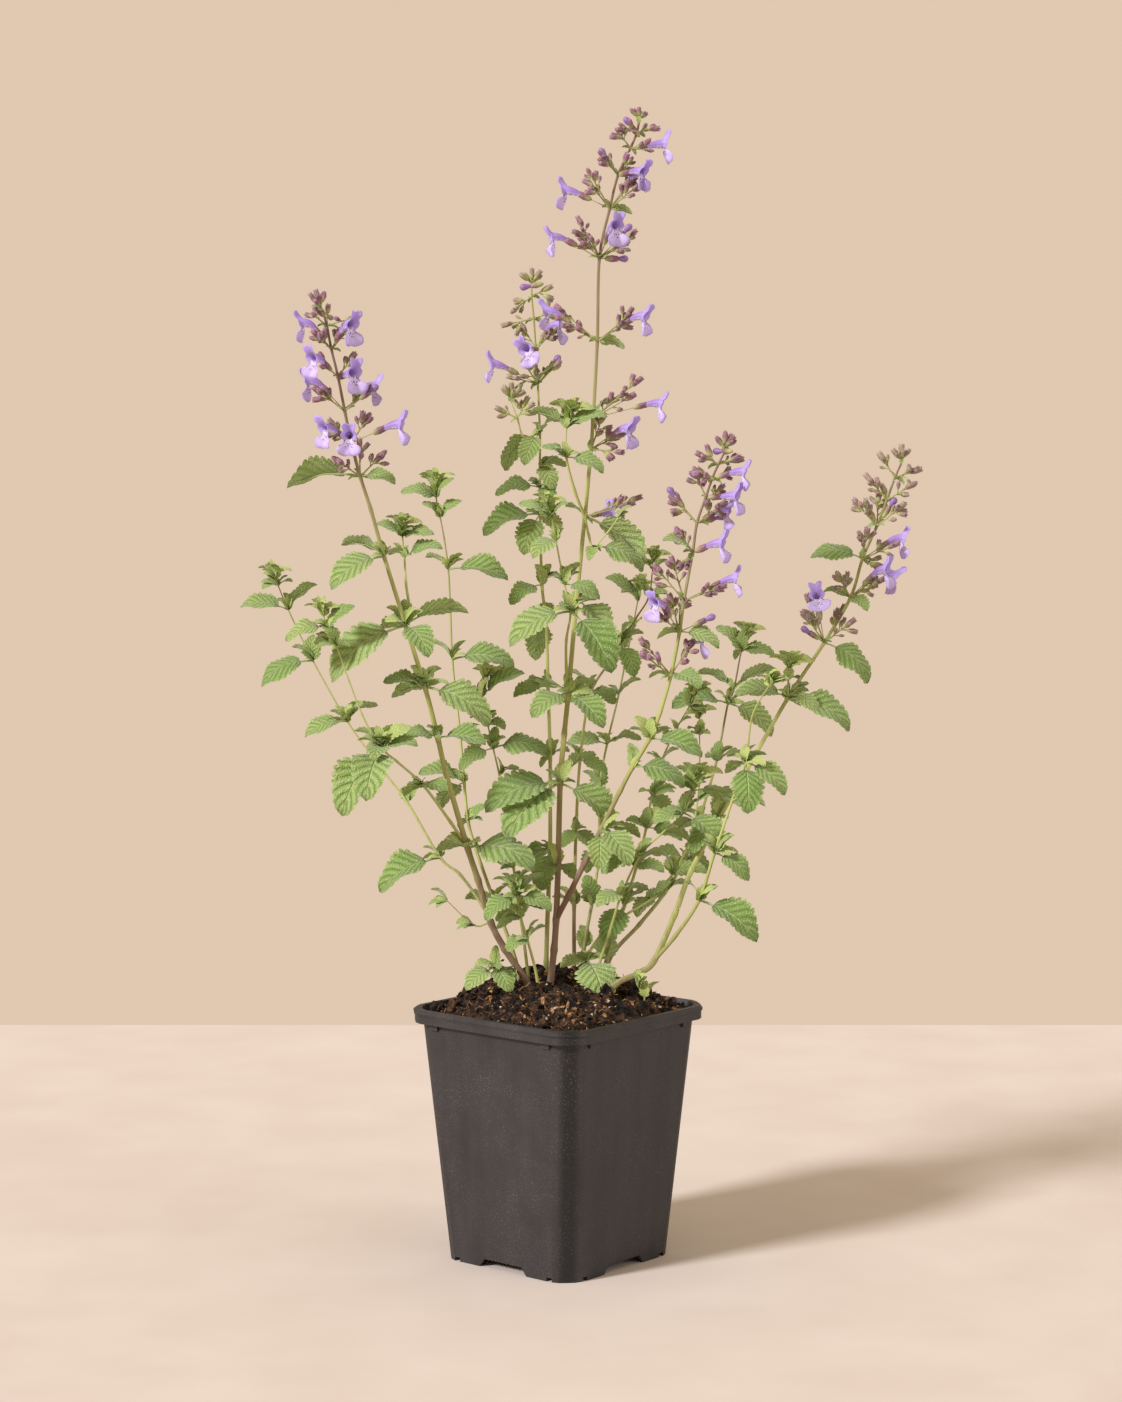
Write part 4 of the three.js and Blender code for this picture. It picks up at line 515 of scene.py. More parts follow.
STEMS = [
    stem("stem_left", 2.3, 1.0, [
      at(-14, -4, 134),
      at(-26, -8, 154),
      at(-33, -10, 168,
        shoot(1.1, 0.5, [
          at(-37, -10, 176),
          at(-48, -2, 190),
          at(-58, 2, 198, leaf(-30, -6, -15), leaf(5, 8, 6)),
          at(-74, 8, 224, leaf(2, 10, 10)),
          at(-88, 11, 242),
          at(-104, 14, 264, leaf(-21, -4, -6), leaf(13, 10, 9), leaf(6, -8, 13)),
          at(-121, 16, 294, leaf(-26, -5, -9), leaf(7, 10, 10), leaf(-4, -8, 11)),
          at(-133, 17, 319, leaf(-23, -3, 3), leaf(13, 6, 13)),
          at(-138, 18, 331, leaf(-7, -8, -1), leaf(6, 8, 2)),
          at(-140, 18, 337, rosette(5, 9)),
        ]),
        shoot(0.6, 0.4, [
          at(-41, -14, 167, leaf(-5, -2, -1)),
          at(-54, -20, 180, leaf(-5, -3, -3), leaf(-3, 3, 3)),
        ])),
      at(-39, -13, 189),
      at(-44, -15, 205, leaf(32, -16, -3), leaf(-15, -4, 7),
        shoot(1.0, 0.5, [
          at(-52, -19, 218),
          at(-65, -27, 237, leaf(-9, -5, -4), leaf(11, -14, 0)),
          at(-77, -34, 249),
          at(-84, -38, 256, leaf(-19, -14, -30), leaf(-5, -20, -27), leaf(-15, -4, 2), leaf(17, -6, 3),
            leaf(12, -10, -7), rosette(6, 15)),
          at(-93, -42, 272),
          at(-105, -44, 305, leaf(-8, -8, 1), leaf(-12, 8, 5)),
          at(-109, -44, 314, leaf(-20, -4, -4), leaf(12, -2, 11)),
          at(-112, -44, 322, rosette(5, 9)),
        ])),
      at(-54, -19, 241),
      at(-58, -21, 259, leaf(23, -12, -1), leaf(-16, -8, 3)),
      at(-64, -24, 284, leaf(32, -10, -15), leaf(-19, -5, 5), leaf(-14, -9, -4), leaf(7, 7, 9)),
      at(-73, -27, 314, leaf(-41, -10, -14), leaf(29, 8, 8), leaf(12, -18, -12), leaf(-13, 8, 7),
        shoot(1.0, 0.5, [
          at(-71, -26, 320),
          at(-73, -20, 333),
          at(-74, -16, 346, leaf(18, -6, 6), leaf(-8, 10, 2), leaf(5, -9, -4), leaf(-3, 8, -9)),
          at(-75, -14, 356, leaf(-8, -3, 12), leaf(14, -4, 6), leaf(5, -9, 0), leaf(-5, 8, 3)),
          at(-75, -14, 361, rosette(5, 10)),
        ])),
      at(-83, -30, 347, leaf(-25, -12, -13), leaf(-20, 9, 7), leaf(8, 9, 3)),
      at(-89, -32, 369),
      at(-94, -33, 385, leaf(-34, -8, -4), leaf(17, -6, -2), cyme(-7, -2, 5, 3), cyme(7, 2, 7, 3),
        cyme(1, -4, 10, 2)),
      at(-98, -34, 401, cyme(-6, 3, 6, 3), cyme(5, 3, 8, 3), flower(-10, -9, 8), flower(14, -8, 4),
        flower(21, 2, 9), bud(-16, -3, -3)),
      at(-101, -35, 416, cyme(-9, -2, 7, 3), cyme(8, -2, 7, 4), flower(-20, 2, 7), flower(14, 5, 10),
        bud(18, -4, 12)),
      at(-104, -36, 432, cyme(-6, 2, 5, 3), cyme(4, 4, 6, 2), flower(6, -8, 4), flower(-15, -5, 6)),
      at(-107, -37, 445, cyme(-4, -3, 4, 4), cyme(5, 2, 6, 4), flower(-16, 1, 7), flower(13, -3, 2)),
      at(-109, -38, 456, cyme(-5, 0, 4, 3), cyme(7, -3, 2, 3), cyme(0, 5, 5, 2)),
      at(-111, -38, 463, cyme(-1, 0, 3, 5)),
    ]),
    stem("stem_centre_left", 1.7, 0.8, [
      at(-6, 20, 143),
      at(-5, 20, 174),
      at(-4, 21, 200, leaf(-9, 8, -11), leaf(-5, -9, -19)),
      at(-4, 22, 224),
      at(-4, 22, 246, leaf(-9, -8, 7), leaf(-5, 7, -5), leaf(9, 10, 2)),
      at(-5, 22, 281, leaf(-17, -7, -4), leaf(-11, 8, 6)),
      at(-6, 23, 313, leaf(-6, 9, -19), leaf(-6, 6, -11)),
      at(-8, 24, 331, leaf(-16, -10, -7), leaf(8, 9, 5)),
      at(-9, 25, 366, leaf(-28, -9, -9), leaf(-8, -11, -19), leaf(10, 8, -9)),
      at(-9, 25, 379, leaf(-22, -3, -1), leaf(7, -9, -6)),
      at(-9, 25, 390, leaf(13, 5, 1), leaf(7, -8, -11)),
      at(-9, 25, 406, leaf(-25, -4, -4), leaf(10, 9, 9), leaf(-10, -11, -12),
        shoot(0.7, 0.5, [
          at(-17, 22, 404),
          at(-20, 19, 413, cyme(2, 1, 4, 2), cyme(-4, -1, 2, 1)),
          at(-23, 18, 421, cyme(0, 0, 2, 5)),
        ])),
      at(-10, 25, 430, cyme(-8, -2, 2, 2), cyme(6, -3, 6, 2), cyme(-4, -5, 6, 2), flower(-20, -2, 10),
        bud(14, 1, 11), leaf(14, -2, -1)),
      at(-11, 26, 447, cyme(-4, 3, 7, 2), cyme(6, -2, 6, 4), flower(-6, -7, 0), flower(13, -7, 4)),
      at(-12, 26, 462, cyme(-9, 0, -2, 2), cyme(6, 1, 2, 3)),
      at(-13, 26, 473, cyme(-5, 0, -4, 2), cyme(4, 1, 2, 2)),
      at(-13, 26, 478, cyme(0, 0, 2, 5), bud(-6, 0, -1)),
    ]),
    stem("stem_centre", 2.4, 1.0, [
      at(-4, -2, 134),
      at(-2, -2, 153),
      at(-1, -2, 168,
        shoot(1.8, 0.9, [
          at(5, -5, 180),
          at(13, -9, 197),
          at(21, -13, 214, leaf(-1, -9, -18), leaf(19, 8, -4), leaf(14, -16, -14)),
          at(30, -17, 233),
          at(36, -20, 245, leaf(25, -8, -5), leaf(-1, 5, 11)),
          at(44, -24, 259, leaf(25, -9, -7), leaf(-9, 6, 5), leaf(9, 8, 10)),
          at(49, -26, 272),
          at(54, -28, 290, leaf(-10, 6, 0), cyme(-9, -4, 7, 4), cyme(-10, 3, 12, 3), cyme(7, -2, 11, 3),
            flower(14, -7, 15), leaf(16, -7, -11), leaf(3, -12, -16)),
          at(58, -31, 311, leaf(-13, 4, -4), cyme(-6, -3, 5, 2), cyme(-3, 3, 11, 3), cyme(5, 5, 8, 2),
            flower(-10, -9, 16), leaf(19, -5, -6), bud(17, -3, 8)),
          at(60, -33, 326, cyme(-10, -2, 12, 4), cyme(-4, 4, 14, 3), cyme(13, -3, 5, 5),
            flower(22, -2, 11)),
          at(64, -34, 349, cyme(-4, 2, 6, 4), cyme(-3, -3, -3, 2), flower(5, -8, 5), flower(12, -4, 2),
            leaf(-13, 6, -5)),
          at(66, -35, 363, cyme(-8, 3, 8, 3), cyme(8, -3, 6, 3), bud(-14, 0, 17), bud(14, 3, 7),
            flower(12, 1, -3)),
          at(70, -36, 375, cyme(-3, 3, 8, 3), cyme(5, 4, 2, 2), flower(12, -5, 1)),
          at(73, -37, 384, cyme(-3, -3, 1, 2), bud(-10, -1, 3), cyme(7, 3, 2, 4), flower(13, -2, 4)),
          at(76, -38, 391, cyme(-4, 0, 2, 3), cyme(5, 2, 1, 3)),
          at(79, -38, 397, cyme(0, 0, 2, 5), bud(-7, -2, 0)),
        ])),
      at(0, -1, 195, leaf(-12, -9, -8), leaf(8, 9, -7)),
      at(1, -1, 235, leaf(-36, -18, -9), leaf(-26, -25, -21), leaf(25, -10, -20), leaf(17, 10, 14)),
      at(3, 0, 259),
      at(5, 0, 279, leaf(-18, -13, -8), leaf(17, -13, -15), leaf(-12, 10, 8), leaf(10, 9, 7),
        shoot(1.0, 0.5, [
          at(4, -5, 292),
          at(4, -12, 306),
          at(6, -16, 320, leaf(-30, -8, -14), leaf(20, -14, -28), leaf(-8, -5, 6), leaf(12, 8, 6)),
          at(3, -17, 333, leaf(-5, -5, 4), leaf(7, 6, 6), leaf(17, -7, -5)),
          at(-1, -16, 354, leaf(3, 8, 6), leaf(-11, -12, -7)),
          at(-3, -16, 365, leaf(-15, -3, 8), leaf(7, -6, 8)),
          at(-5, -16, 372, rosette(5, 9)),
        ])),
      at(9, 1, 325, leaf(16, 8, -20)),
      at(13, 2, 365, cyme(17, -2, 5, 4), flower(27, -3, 10), leaf(37, 5, -5), leaf(-7, 9, 9),
        cyme(22, 5, 2, 2),
        shoot(0.9, 0.5, [
          at(8, -4, 378),
          at(4, -8, 394, leaf(18, -7, -6), leaf(-11, -4, 6), leaf(-6, -9, -2)),
          at(4, -8, 408, leaf(-17, 4, 9), leaf(19, -3, 7), leaf(9, -9, -2), leaf(-2, 7, 10)),
          at(6, -8, 416, rosette(6, 12)),
        ]),
        shoot(0.8, 0.5, [
          at(15, -3, 356),
          at(17, -8, 351, leaf(25, -4, -8), leaf(-2, -8, -6)),
          at(24, -10, 358),
          at(29, -12, 365, leaf(6, -4, 6)),
        ])),
      at(16, 3, 398, cyme(10, -4, 5, 5), cyme(4, 4, 11, 2), flower(18, -5, 11), cyme(11, -5, -1, 2)),
      at(17, 3, 413, cyme(14, -1, 8, 1), cyme(21, -2, 10, 4), cyme(9, 4, 7, 2), flower(28, -3, 15),
        leaf(15, 6, 6)),
      at(19, 4, 450, cyme(-10, 2, 6, 3), cyme(-15, 1, 13, 2), flower(-23, 1, 16), cyme(12, -2, 8, 5),
        cyme(16, -4, 3, 3), flower(22, -3, 13), leaf(12, -6, -2)),
      at(20, 4, 490, cyme(-6, 3, 7, 3), cyme(-11, -2, 12, 4), flower(-18, 1, 16), cyme(9, -2, 5, 4),
        cyme(13, 4, 10, 3), flower(6, -10, 16), bud(19, -2, 12), bud(14, -4, 0), cyme(-4, -4, 4, 2)),
      at(25, 5, 514, cyme(-7, 2, 9, 3), cyme(-12, -3, 11, 3), flower(-17, 0, 14), cyme(10, -3, 8, 4),
        cyme(13, 3, 5, 3), flower(20, -4, 10), leaf(11, 2, -2)),
      at(29, 5, 530, cyme(-6, -2, 7, 4), cyme(4, 3, 5, 3), flower(10, -7, 2), bud(-9, 1, 13)),
      at(35, 6, 543, cyme(-4, -2, 5, 3), cyme(6, -3, -1, 4), flower(14, 1, 2)),
      at(38, 6, 550, cyme(4, 1, 2, 4), cyme(-4, -1, 2, 3), bud(-9, 0, 4)),
      at(39, 6, 555, cyme(0, 0, 2, 5)),
    ]),
    stem("stem_right", 2.1, 1.0, [
      at(26, -12, 135),
      at(40, -11, 143),
      at(47, -10, 149,
        shoot(1.3, 0.6, [
          at(57, -16, 162),
          at(68, -26, 181, leaf(28, -9, -18), leaf(-5, 6, 9)),
          at(75, -34, 205, leaf(17, -6, -11), leaf(-5, -7, 6), leaf(6, 7, 3)),
          at(83, -41, 231, leaf(15, 4, -6)),
          at(89, -46, 250, leaf(1, -14, -21), leaf(19, -8, -13), leaf(-9, 7, -5), leaf(-2, 8, 6),
            leaf(8, -6, 4)),
          at(92, -50, 273),
          at(101, -52, 289, rosette(5, 8)),
        ])),
      at(57, -7, 171),
      at(65, -4, 192),
      at(78, 0, 216, leaf(-14, -7, -13), leaf(8, 8, 15)),
      at(92, 4, 240),
      at(113, 10, 276, leaf(31, -5, -13), leaf(13, -10, -8), leaf(-26, -7, 4), leaf(12, 7, 3),
        shoot(0.7, 0.4, [
          at(113, 7, 285, leaf(-6, -6, 0), leaf(8, 6, 1)),
          at(114, 6, 293, rosette(6, 12)),
        ])),
      at(131, 14, 303, leaf(23, -7, -16), cyme(-7, -2, 10, 5), cyme(-10, 2, 15, 3), flower(-14, 0, 18),
        bud(-13, -3, 8), cyme(9, -1, 7, 5), cyme(7, 4, 12, 2)),
      at(144, 17, 325, cyme(-4, -3, 7, 3), leaf(-10, -8, 4), cyme(10, -3, 6, 4), cyme(11, 3, -2, 3),
        flower(20, -3, 6), leaf(10, -8, -5)),
      at(150, 19, 344, leaf(-25, -4, 4), cyme(1, -4, 9, 3), cyme(11, -2, 5, 4), cyme(5, 4, -2, 2),
        flower(17, 2, 11), flower(11, -7, -3)),
      at(157, 20, 360, cyme(-7, -2, 8, 4), cyme(1, 4, 10, 3), cyme(8, -3, 7, 4), bud(-9, 0, 11),
        bud(15, 1, 8)),
      at(162, 21, 373, cyme(-6, 0, 7, 3), cyme(0, 5, 2, 2), cyme(8, -3, 5, 4)),
      at(166, 22, 384, cyme(-4, 0, 6, 3), cyme(6, 0, 2, 3)),
      at(169, 22, 391, cyme(0, 0, 2, 5)),
    ]),
    stem("stem_back_right", 1.4, 0.6, [
      at(25, 32, 141),
      at(41, 40, 159),
      at(54, 47, 174, leaf(-9, -8, -5), leaf(13, 9, 5)),
      at(64, 53, 190, leaf(-15, -7, 6), leaf(13, 9, -5)),
      at(72, 60, 210, leaf(-14, 9, -9), leaf(2, -11, -11)),
      at(81, 68, 239, leaf(-6, -9, 3), leaf(14, 10, 3)),
      at(87, 74, 268, leaf(-29, -12, 0), leaf(23, -8, -14), leaf(17, 11, 6)),
      at(90, 75, 275, leaf(22, 6, 11), leaf(-18, 8, 9)),
      at(94, 78, 295, leaf(-12, -3, 13), leaf(17, -4, -2), leaf(-3, 9, -4)),
      at(97, 79, 304, rosette(5, 10)),
    ]),
    stem("stem_back_centre", 1.5, 0.6, [
      at(8, 32, 141),
      at(8, 37, 169, leaf(-10, 9, 4), leaf(8, 8, 5)),
      at(9, 44, 206, leaf(-7, -8, -7), leaf(8, 9, -10)),
      at(11, 51, 241, leaf(9, 11, -6), leaf(-9, 12, 9)),
      at(16, 57, 273, leaf(-9, 9, 13), leaf(13, 12, -3), leaf(-14, 9, -3)),
      at(25, 60, 289, leaf(-9, 12, 7)),
      at(32, 62, 300, leaf(-3, -5, 16), leaf(9, 9, 5), leaf(7, -7, -16), leaf(-11, 11, 9)),
      at(40, 64, 313),
      at(46, 65, 323, leaf(6, -6, -2), leaf(-4, 9, 7)),
      at(48, 66, 337, leaf(-6, -3, 4), leaf(8, 2, 5)),
      at(49, 66, 343, rosette(5, 9)),
    ]),
    stem("stem_back_middle", 1.2, 0.5, [
      at(13, 46, 145, leaf(4, 9, 6)),
      at(17, 53, 167, leaf(-5, -5, 14), leaf(10, 9, 6)),
      at(21, 60, 194, leaf(-7, 9, -12), leaf(11, 8, -7)),
      at(21, 68, 224, leaf(-10, 9, -6), leaf(6, 10, 8)),
      at(25, 73, 247, leaf(-20, -8, 2), leaf(17, 8, 4)),
      at(31, 78, 272, leaf(9, 6, 11), leaf(-9, 10, -6)),
      at(38, 84, 305, leaf(-10, 9, -14)),
      at(41, 86, 320, leaf(-16, -6, 13), leaf(-8, 9, 5)),
      at(43, 86, 328, rosette(5, 8)),
    ]),
    stem("stem_mid_right", 1.2, 0.5, [
      at(24, 16, 144, leaf(3, 8, 15)),
      at(33, 22, 171, leaf(-8, -14, -18), leaf(10, 8, 11)),
      at(39, 26, 190, leaf(13, -9, -4), leaf(-12, 9, 4)),
      at(44, 31, 209, leaf(-10, -5, 5), leaf(18, -6, -4)),
      at(47, 35, 225, leaf(-6, -9, 4), leaf(8, 10, -11), leaf(10, 5, -3)),
      at(51, 38, 240, leaf(-6, 6, 6), leaf(9, 7, 8)),
      at(59, 42, 257, leaf(-4, 10, -7)),
      at(66, 45, 269, leaf(8, -6, -3), leaf(4, 6, 8)),
      at(70, 46, 277, leaf(7, -4, 0), rosette(4, 8)),
    ]),
    stem("stem_front_right", 1.1, 0.5, [
      at(19, 4, 139),
      at(25, 2, 160),
      at(31, -2, 180, leaf(-12, -12, -3), leaf(13, 8, 0)),
      at(40, -7, 200, leaf(-19, -9, -5), leaf(11, 7, 7)),
      at(51, -11, 212, leaf(13, 6, -4)),
      at(61, -14, 222, leaf(19, -8, -17), leaf(-15, -5, -4), leaf(11, 8, 9)),
      at(65, -16, 233, leaf(24, 4, -5), leaf(-8, -4, 5)),
      at(67, -17, 240, rosette(6, 13)),
    ]),
    stem("stem_right_inner", 1.0, 0.5, [
      at(14, 9, 146, leaf(-11, -9, -2), leaf(9, -28, -14)),
      at(27, 14, 163),
      at(47, 22, 175, leaf(-8, 9, -10), leaf(8, -6, 9)),
      at(57, 27, 186, leaf(17, -5, 3), leaf(-5, 7, 11)),
      at(66, 32, 203, leaf(5, 7, -11)),
      at(70, 36, 223, leaf(12, -4, 5)),
      at(71, 38, 237),
      at(71, 41, 255, leaf(-8, 8, -1), leaf(5, -6, 1)),
      at(71, 43, 266, rosette(5, 9)),
    ]),
    stem("stem_back_left", 1.2, 0.5, [
      at(-21, 14, 144),
      at(-32, 20, 174, leaf(-13, -5, 6), leaf(12, 9, -5)),
      at(-41, 25, 199, leaf(-9, 8, 8), leaf(16, 8, -10)),
      at(-45, 28, 213, leaf(7, -5, 2), leaf(-5, 7, -4)),
      at(-47, 31, 232, leaf(-22, -8, 6), leaf(-13, 9, -13)),
      at(-49, 34, 255, leaf(9, 11, -6)),
      at(-51, 36, 273),
      at(-53, 38, 293, leaf(31, -9, -1), leaf(-11, 9, 9)),
      at(-54, 40, 318),
      at(-55, 41, 338, leaf(30, -6, -4), leaf(-11, 9, 7)),
      at(-57, 42, 353),
      at(-59, 42, 364, leaf(-8, -4, 8), leaf(10, -3, 9)),
      at(-61, 42, 374, leaf(-17, -3, 4), leaf(8, -5, 10)),
      at(-61, 42, 382, rosette(5, 10)),
    ]),
    stem("stem_left_inner", 1.1, 0.5, [
      at(-15, 7, 139),
      at(-19, 8, 171, leaf(-10, 8, -9), leaf(12, 7, 1)),
      at(-22, 9, 192, leaf(-8, 8, 9), leaf(-6, -6, 1)),
      at(-25, 9, 216),
      at(-29, 10, 238, leaf(9, 8, 3)),
      at(-32, 10, 251, leaf(-17, -6, -8), leaf(-3, 6, 3), leaf(26, -9, 2)),
      at(-35, 11, 264, leaf(9, -8, -2), leaf(-8, 8, 3)),
      at(-38, 12, 276, leaf(21, -4, 13), leaf(-8, 8, 3)),
      at(-35, 12, 287, rosette(4, 9)),
    ]),
    stem("stem_low_front", 1.0, 0.6, [
      at(-10, -9, 138),
      at(-15, -14, 160, leaf(-10, -9, -3), leaf(9, 6, 6)),
      at(-18, -17, 171, leaf(-12, 4, -5), leaf(6, 6, 9)),
      at(-20, -19, 182, leaf(-16, -6, -9), leaf(14, 4, 8), leaf(17, -7, -5), leaf(-7, 7, 5)),
      at(-21, -20, 187, rosette(6, 12)),
    ]),
    stem("shoot_low_left", 0.8, 0.6, [
      at(-25, -4, 142, leaf(6, -8, -2)),
      at(-31, -7, 145, leaf(-14, -9, -9), leaf(4, 8, 2), leaf(9, -12, -6)),
    ]),
]

# Where a growth stands too near to its neighbours it has turned aside or stayed smaller, and where
# there is no room at all its joint is bare. The solid of its stem has a corner at its tip.
YAWS = [0, 15, -15, 30, -30, 45, -45, 60, -60]
PITCHES = [0, 14, -14, 28, -28, 42]
TURNS = sorted(((yaw, pitch) for yaw in YAWS for pitch in PITCHES), key=lambda turn: math.hypot(*turn))
SIZES = [1, 0.8, 1.2, 0.6]
NEAR = 0.03
# A leaf's face leans this much to the viewer or away. In the solids a leaf from WALLED_FROM up has
# a wall and so two corners at its tip, and a flower stalk ends above its joint by half a collar, a
# whole one or none, as its calyces need.
LEAF_FACE_LEAN = 0.55
WALLED_FROM = 26
BLADE_THICK = 0.7
STALK_RADIUS = 0.55
COLLARS = [0.63, 1.26, 0]
# The stems go down to here, inside the peat.
ROOT_Z = 112
CALYX_LONG = 7.0
CALYX_MOUTH = 1.3
# A calyx of a cluster hangs on this much stalk. The radii of its stalk and of the cluster's, from
# foot to end, and how far the calyces beside the middle one lean off.
CALYX_STALK = 1.4
FINE_STALK = [0.42, 0.36]
CLUSTER_STALK = [0.6, 0.5]
CLUSTER_SPREAD = 0.9
# The small calyces round a cluster, at least and at most: how far along the cluster's stalk each
# starts, how far it leans off, how long it is, and how long its own stalk is.
SMALL_ALONG = (0.5, 1.0)
SMALL_LEAN = (0.5, 1.7)
SMALL_LONG = (3.0, 6.4)
SMALL_STALK = (1.2, 2.8)
COROLLA_GAP = 0.3
COROLLA_TUBE = 6
BUD_LONG = 7.5
BUD_OUT = 5
# Calyces are shorter from this height up, more and more over the next stretch, by up to this share.
SHORTER_FROM = 420
SHORTER_OVER = 140
SHORTER_BY = 0.3
# The middle of a corolla's face, ahead of its foot and below its tube, and how far the lobes reach.
FACE_AHEAD = 8.0
FACE_BELOW = 2.0
FACE_REACH = 7.5


def corners_of(names):
    """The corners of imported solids, in the plant's frame, with the solid that each belongs to."""
    found = [(to_plant @ v.co, name) for name in names for v in frame["nodes"][name].data.vertices]
    tree = kdtree.KDTree(len(found))
    for k, (place, name) in enumerate(found):
        tree.insert(place, k)
    tree.balance()
    return tree, [name for place, name in found]


def frame_of(direction, wish):
    """The two unit vectors square to a direction, nearest to a wished upright: right and up."""
    right = wish.cross(direction).normalized()
    return right, direction.cross(right).normalized()


def upright_for(direction):
    """The upright to wish for: up, but away from the viewer for what itself goes up."""
    return Vector((0, 1, 0)) if abs(direction.z) > 0.95 else Vector((0, 0, 1))


chance = random.Random(23)


def beside(direction, spread):
    """A way that leans off a direction to any side, by a share of its length."""
    right, up = frame_of(direction, upright_for(direction))
    angle = chance.uniform(0, 2 * math.pi)
    return (direction + (right * math.cos(angle) + up * math.sin(angle)) * spread).normalized()


def turned(reach, yaw, pitch):
    """A reach turned round the upright and tilted, both in degrees."""
    level = Vector((0, 0, 1)).cross(reach)
    if level.length_squared < 1e-6:
        level = Vector((1, 0, 0))
    tilted = Matrix.Rotation(-math.radians(pitch), 3, level.normalized()) @ reach
    return Matrix.Rotation(math.radians(yaw), 3, "Z") @ tilted


def way_of(reach, is_there, sizes):
    """The way in which a growth really goes, or None for a bare joint."""
    for size in sizes:
        for yaw, pitch in TURNS:
            way = turned(reach, yaw, pitch) * size
            if is_there(way):
                return way
    return None


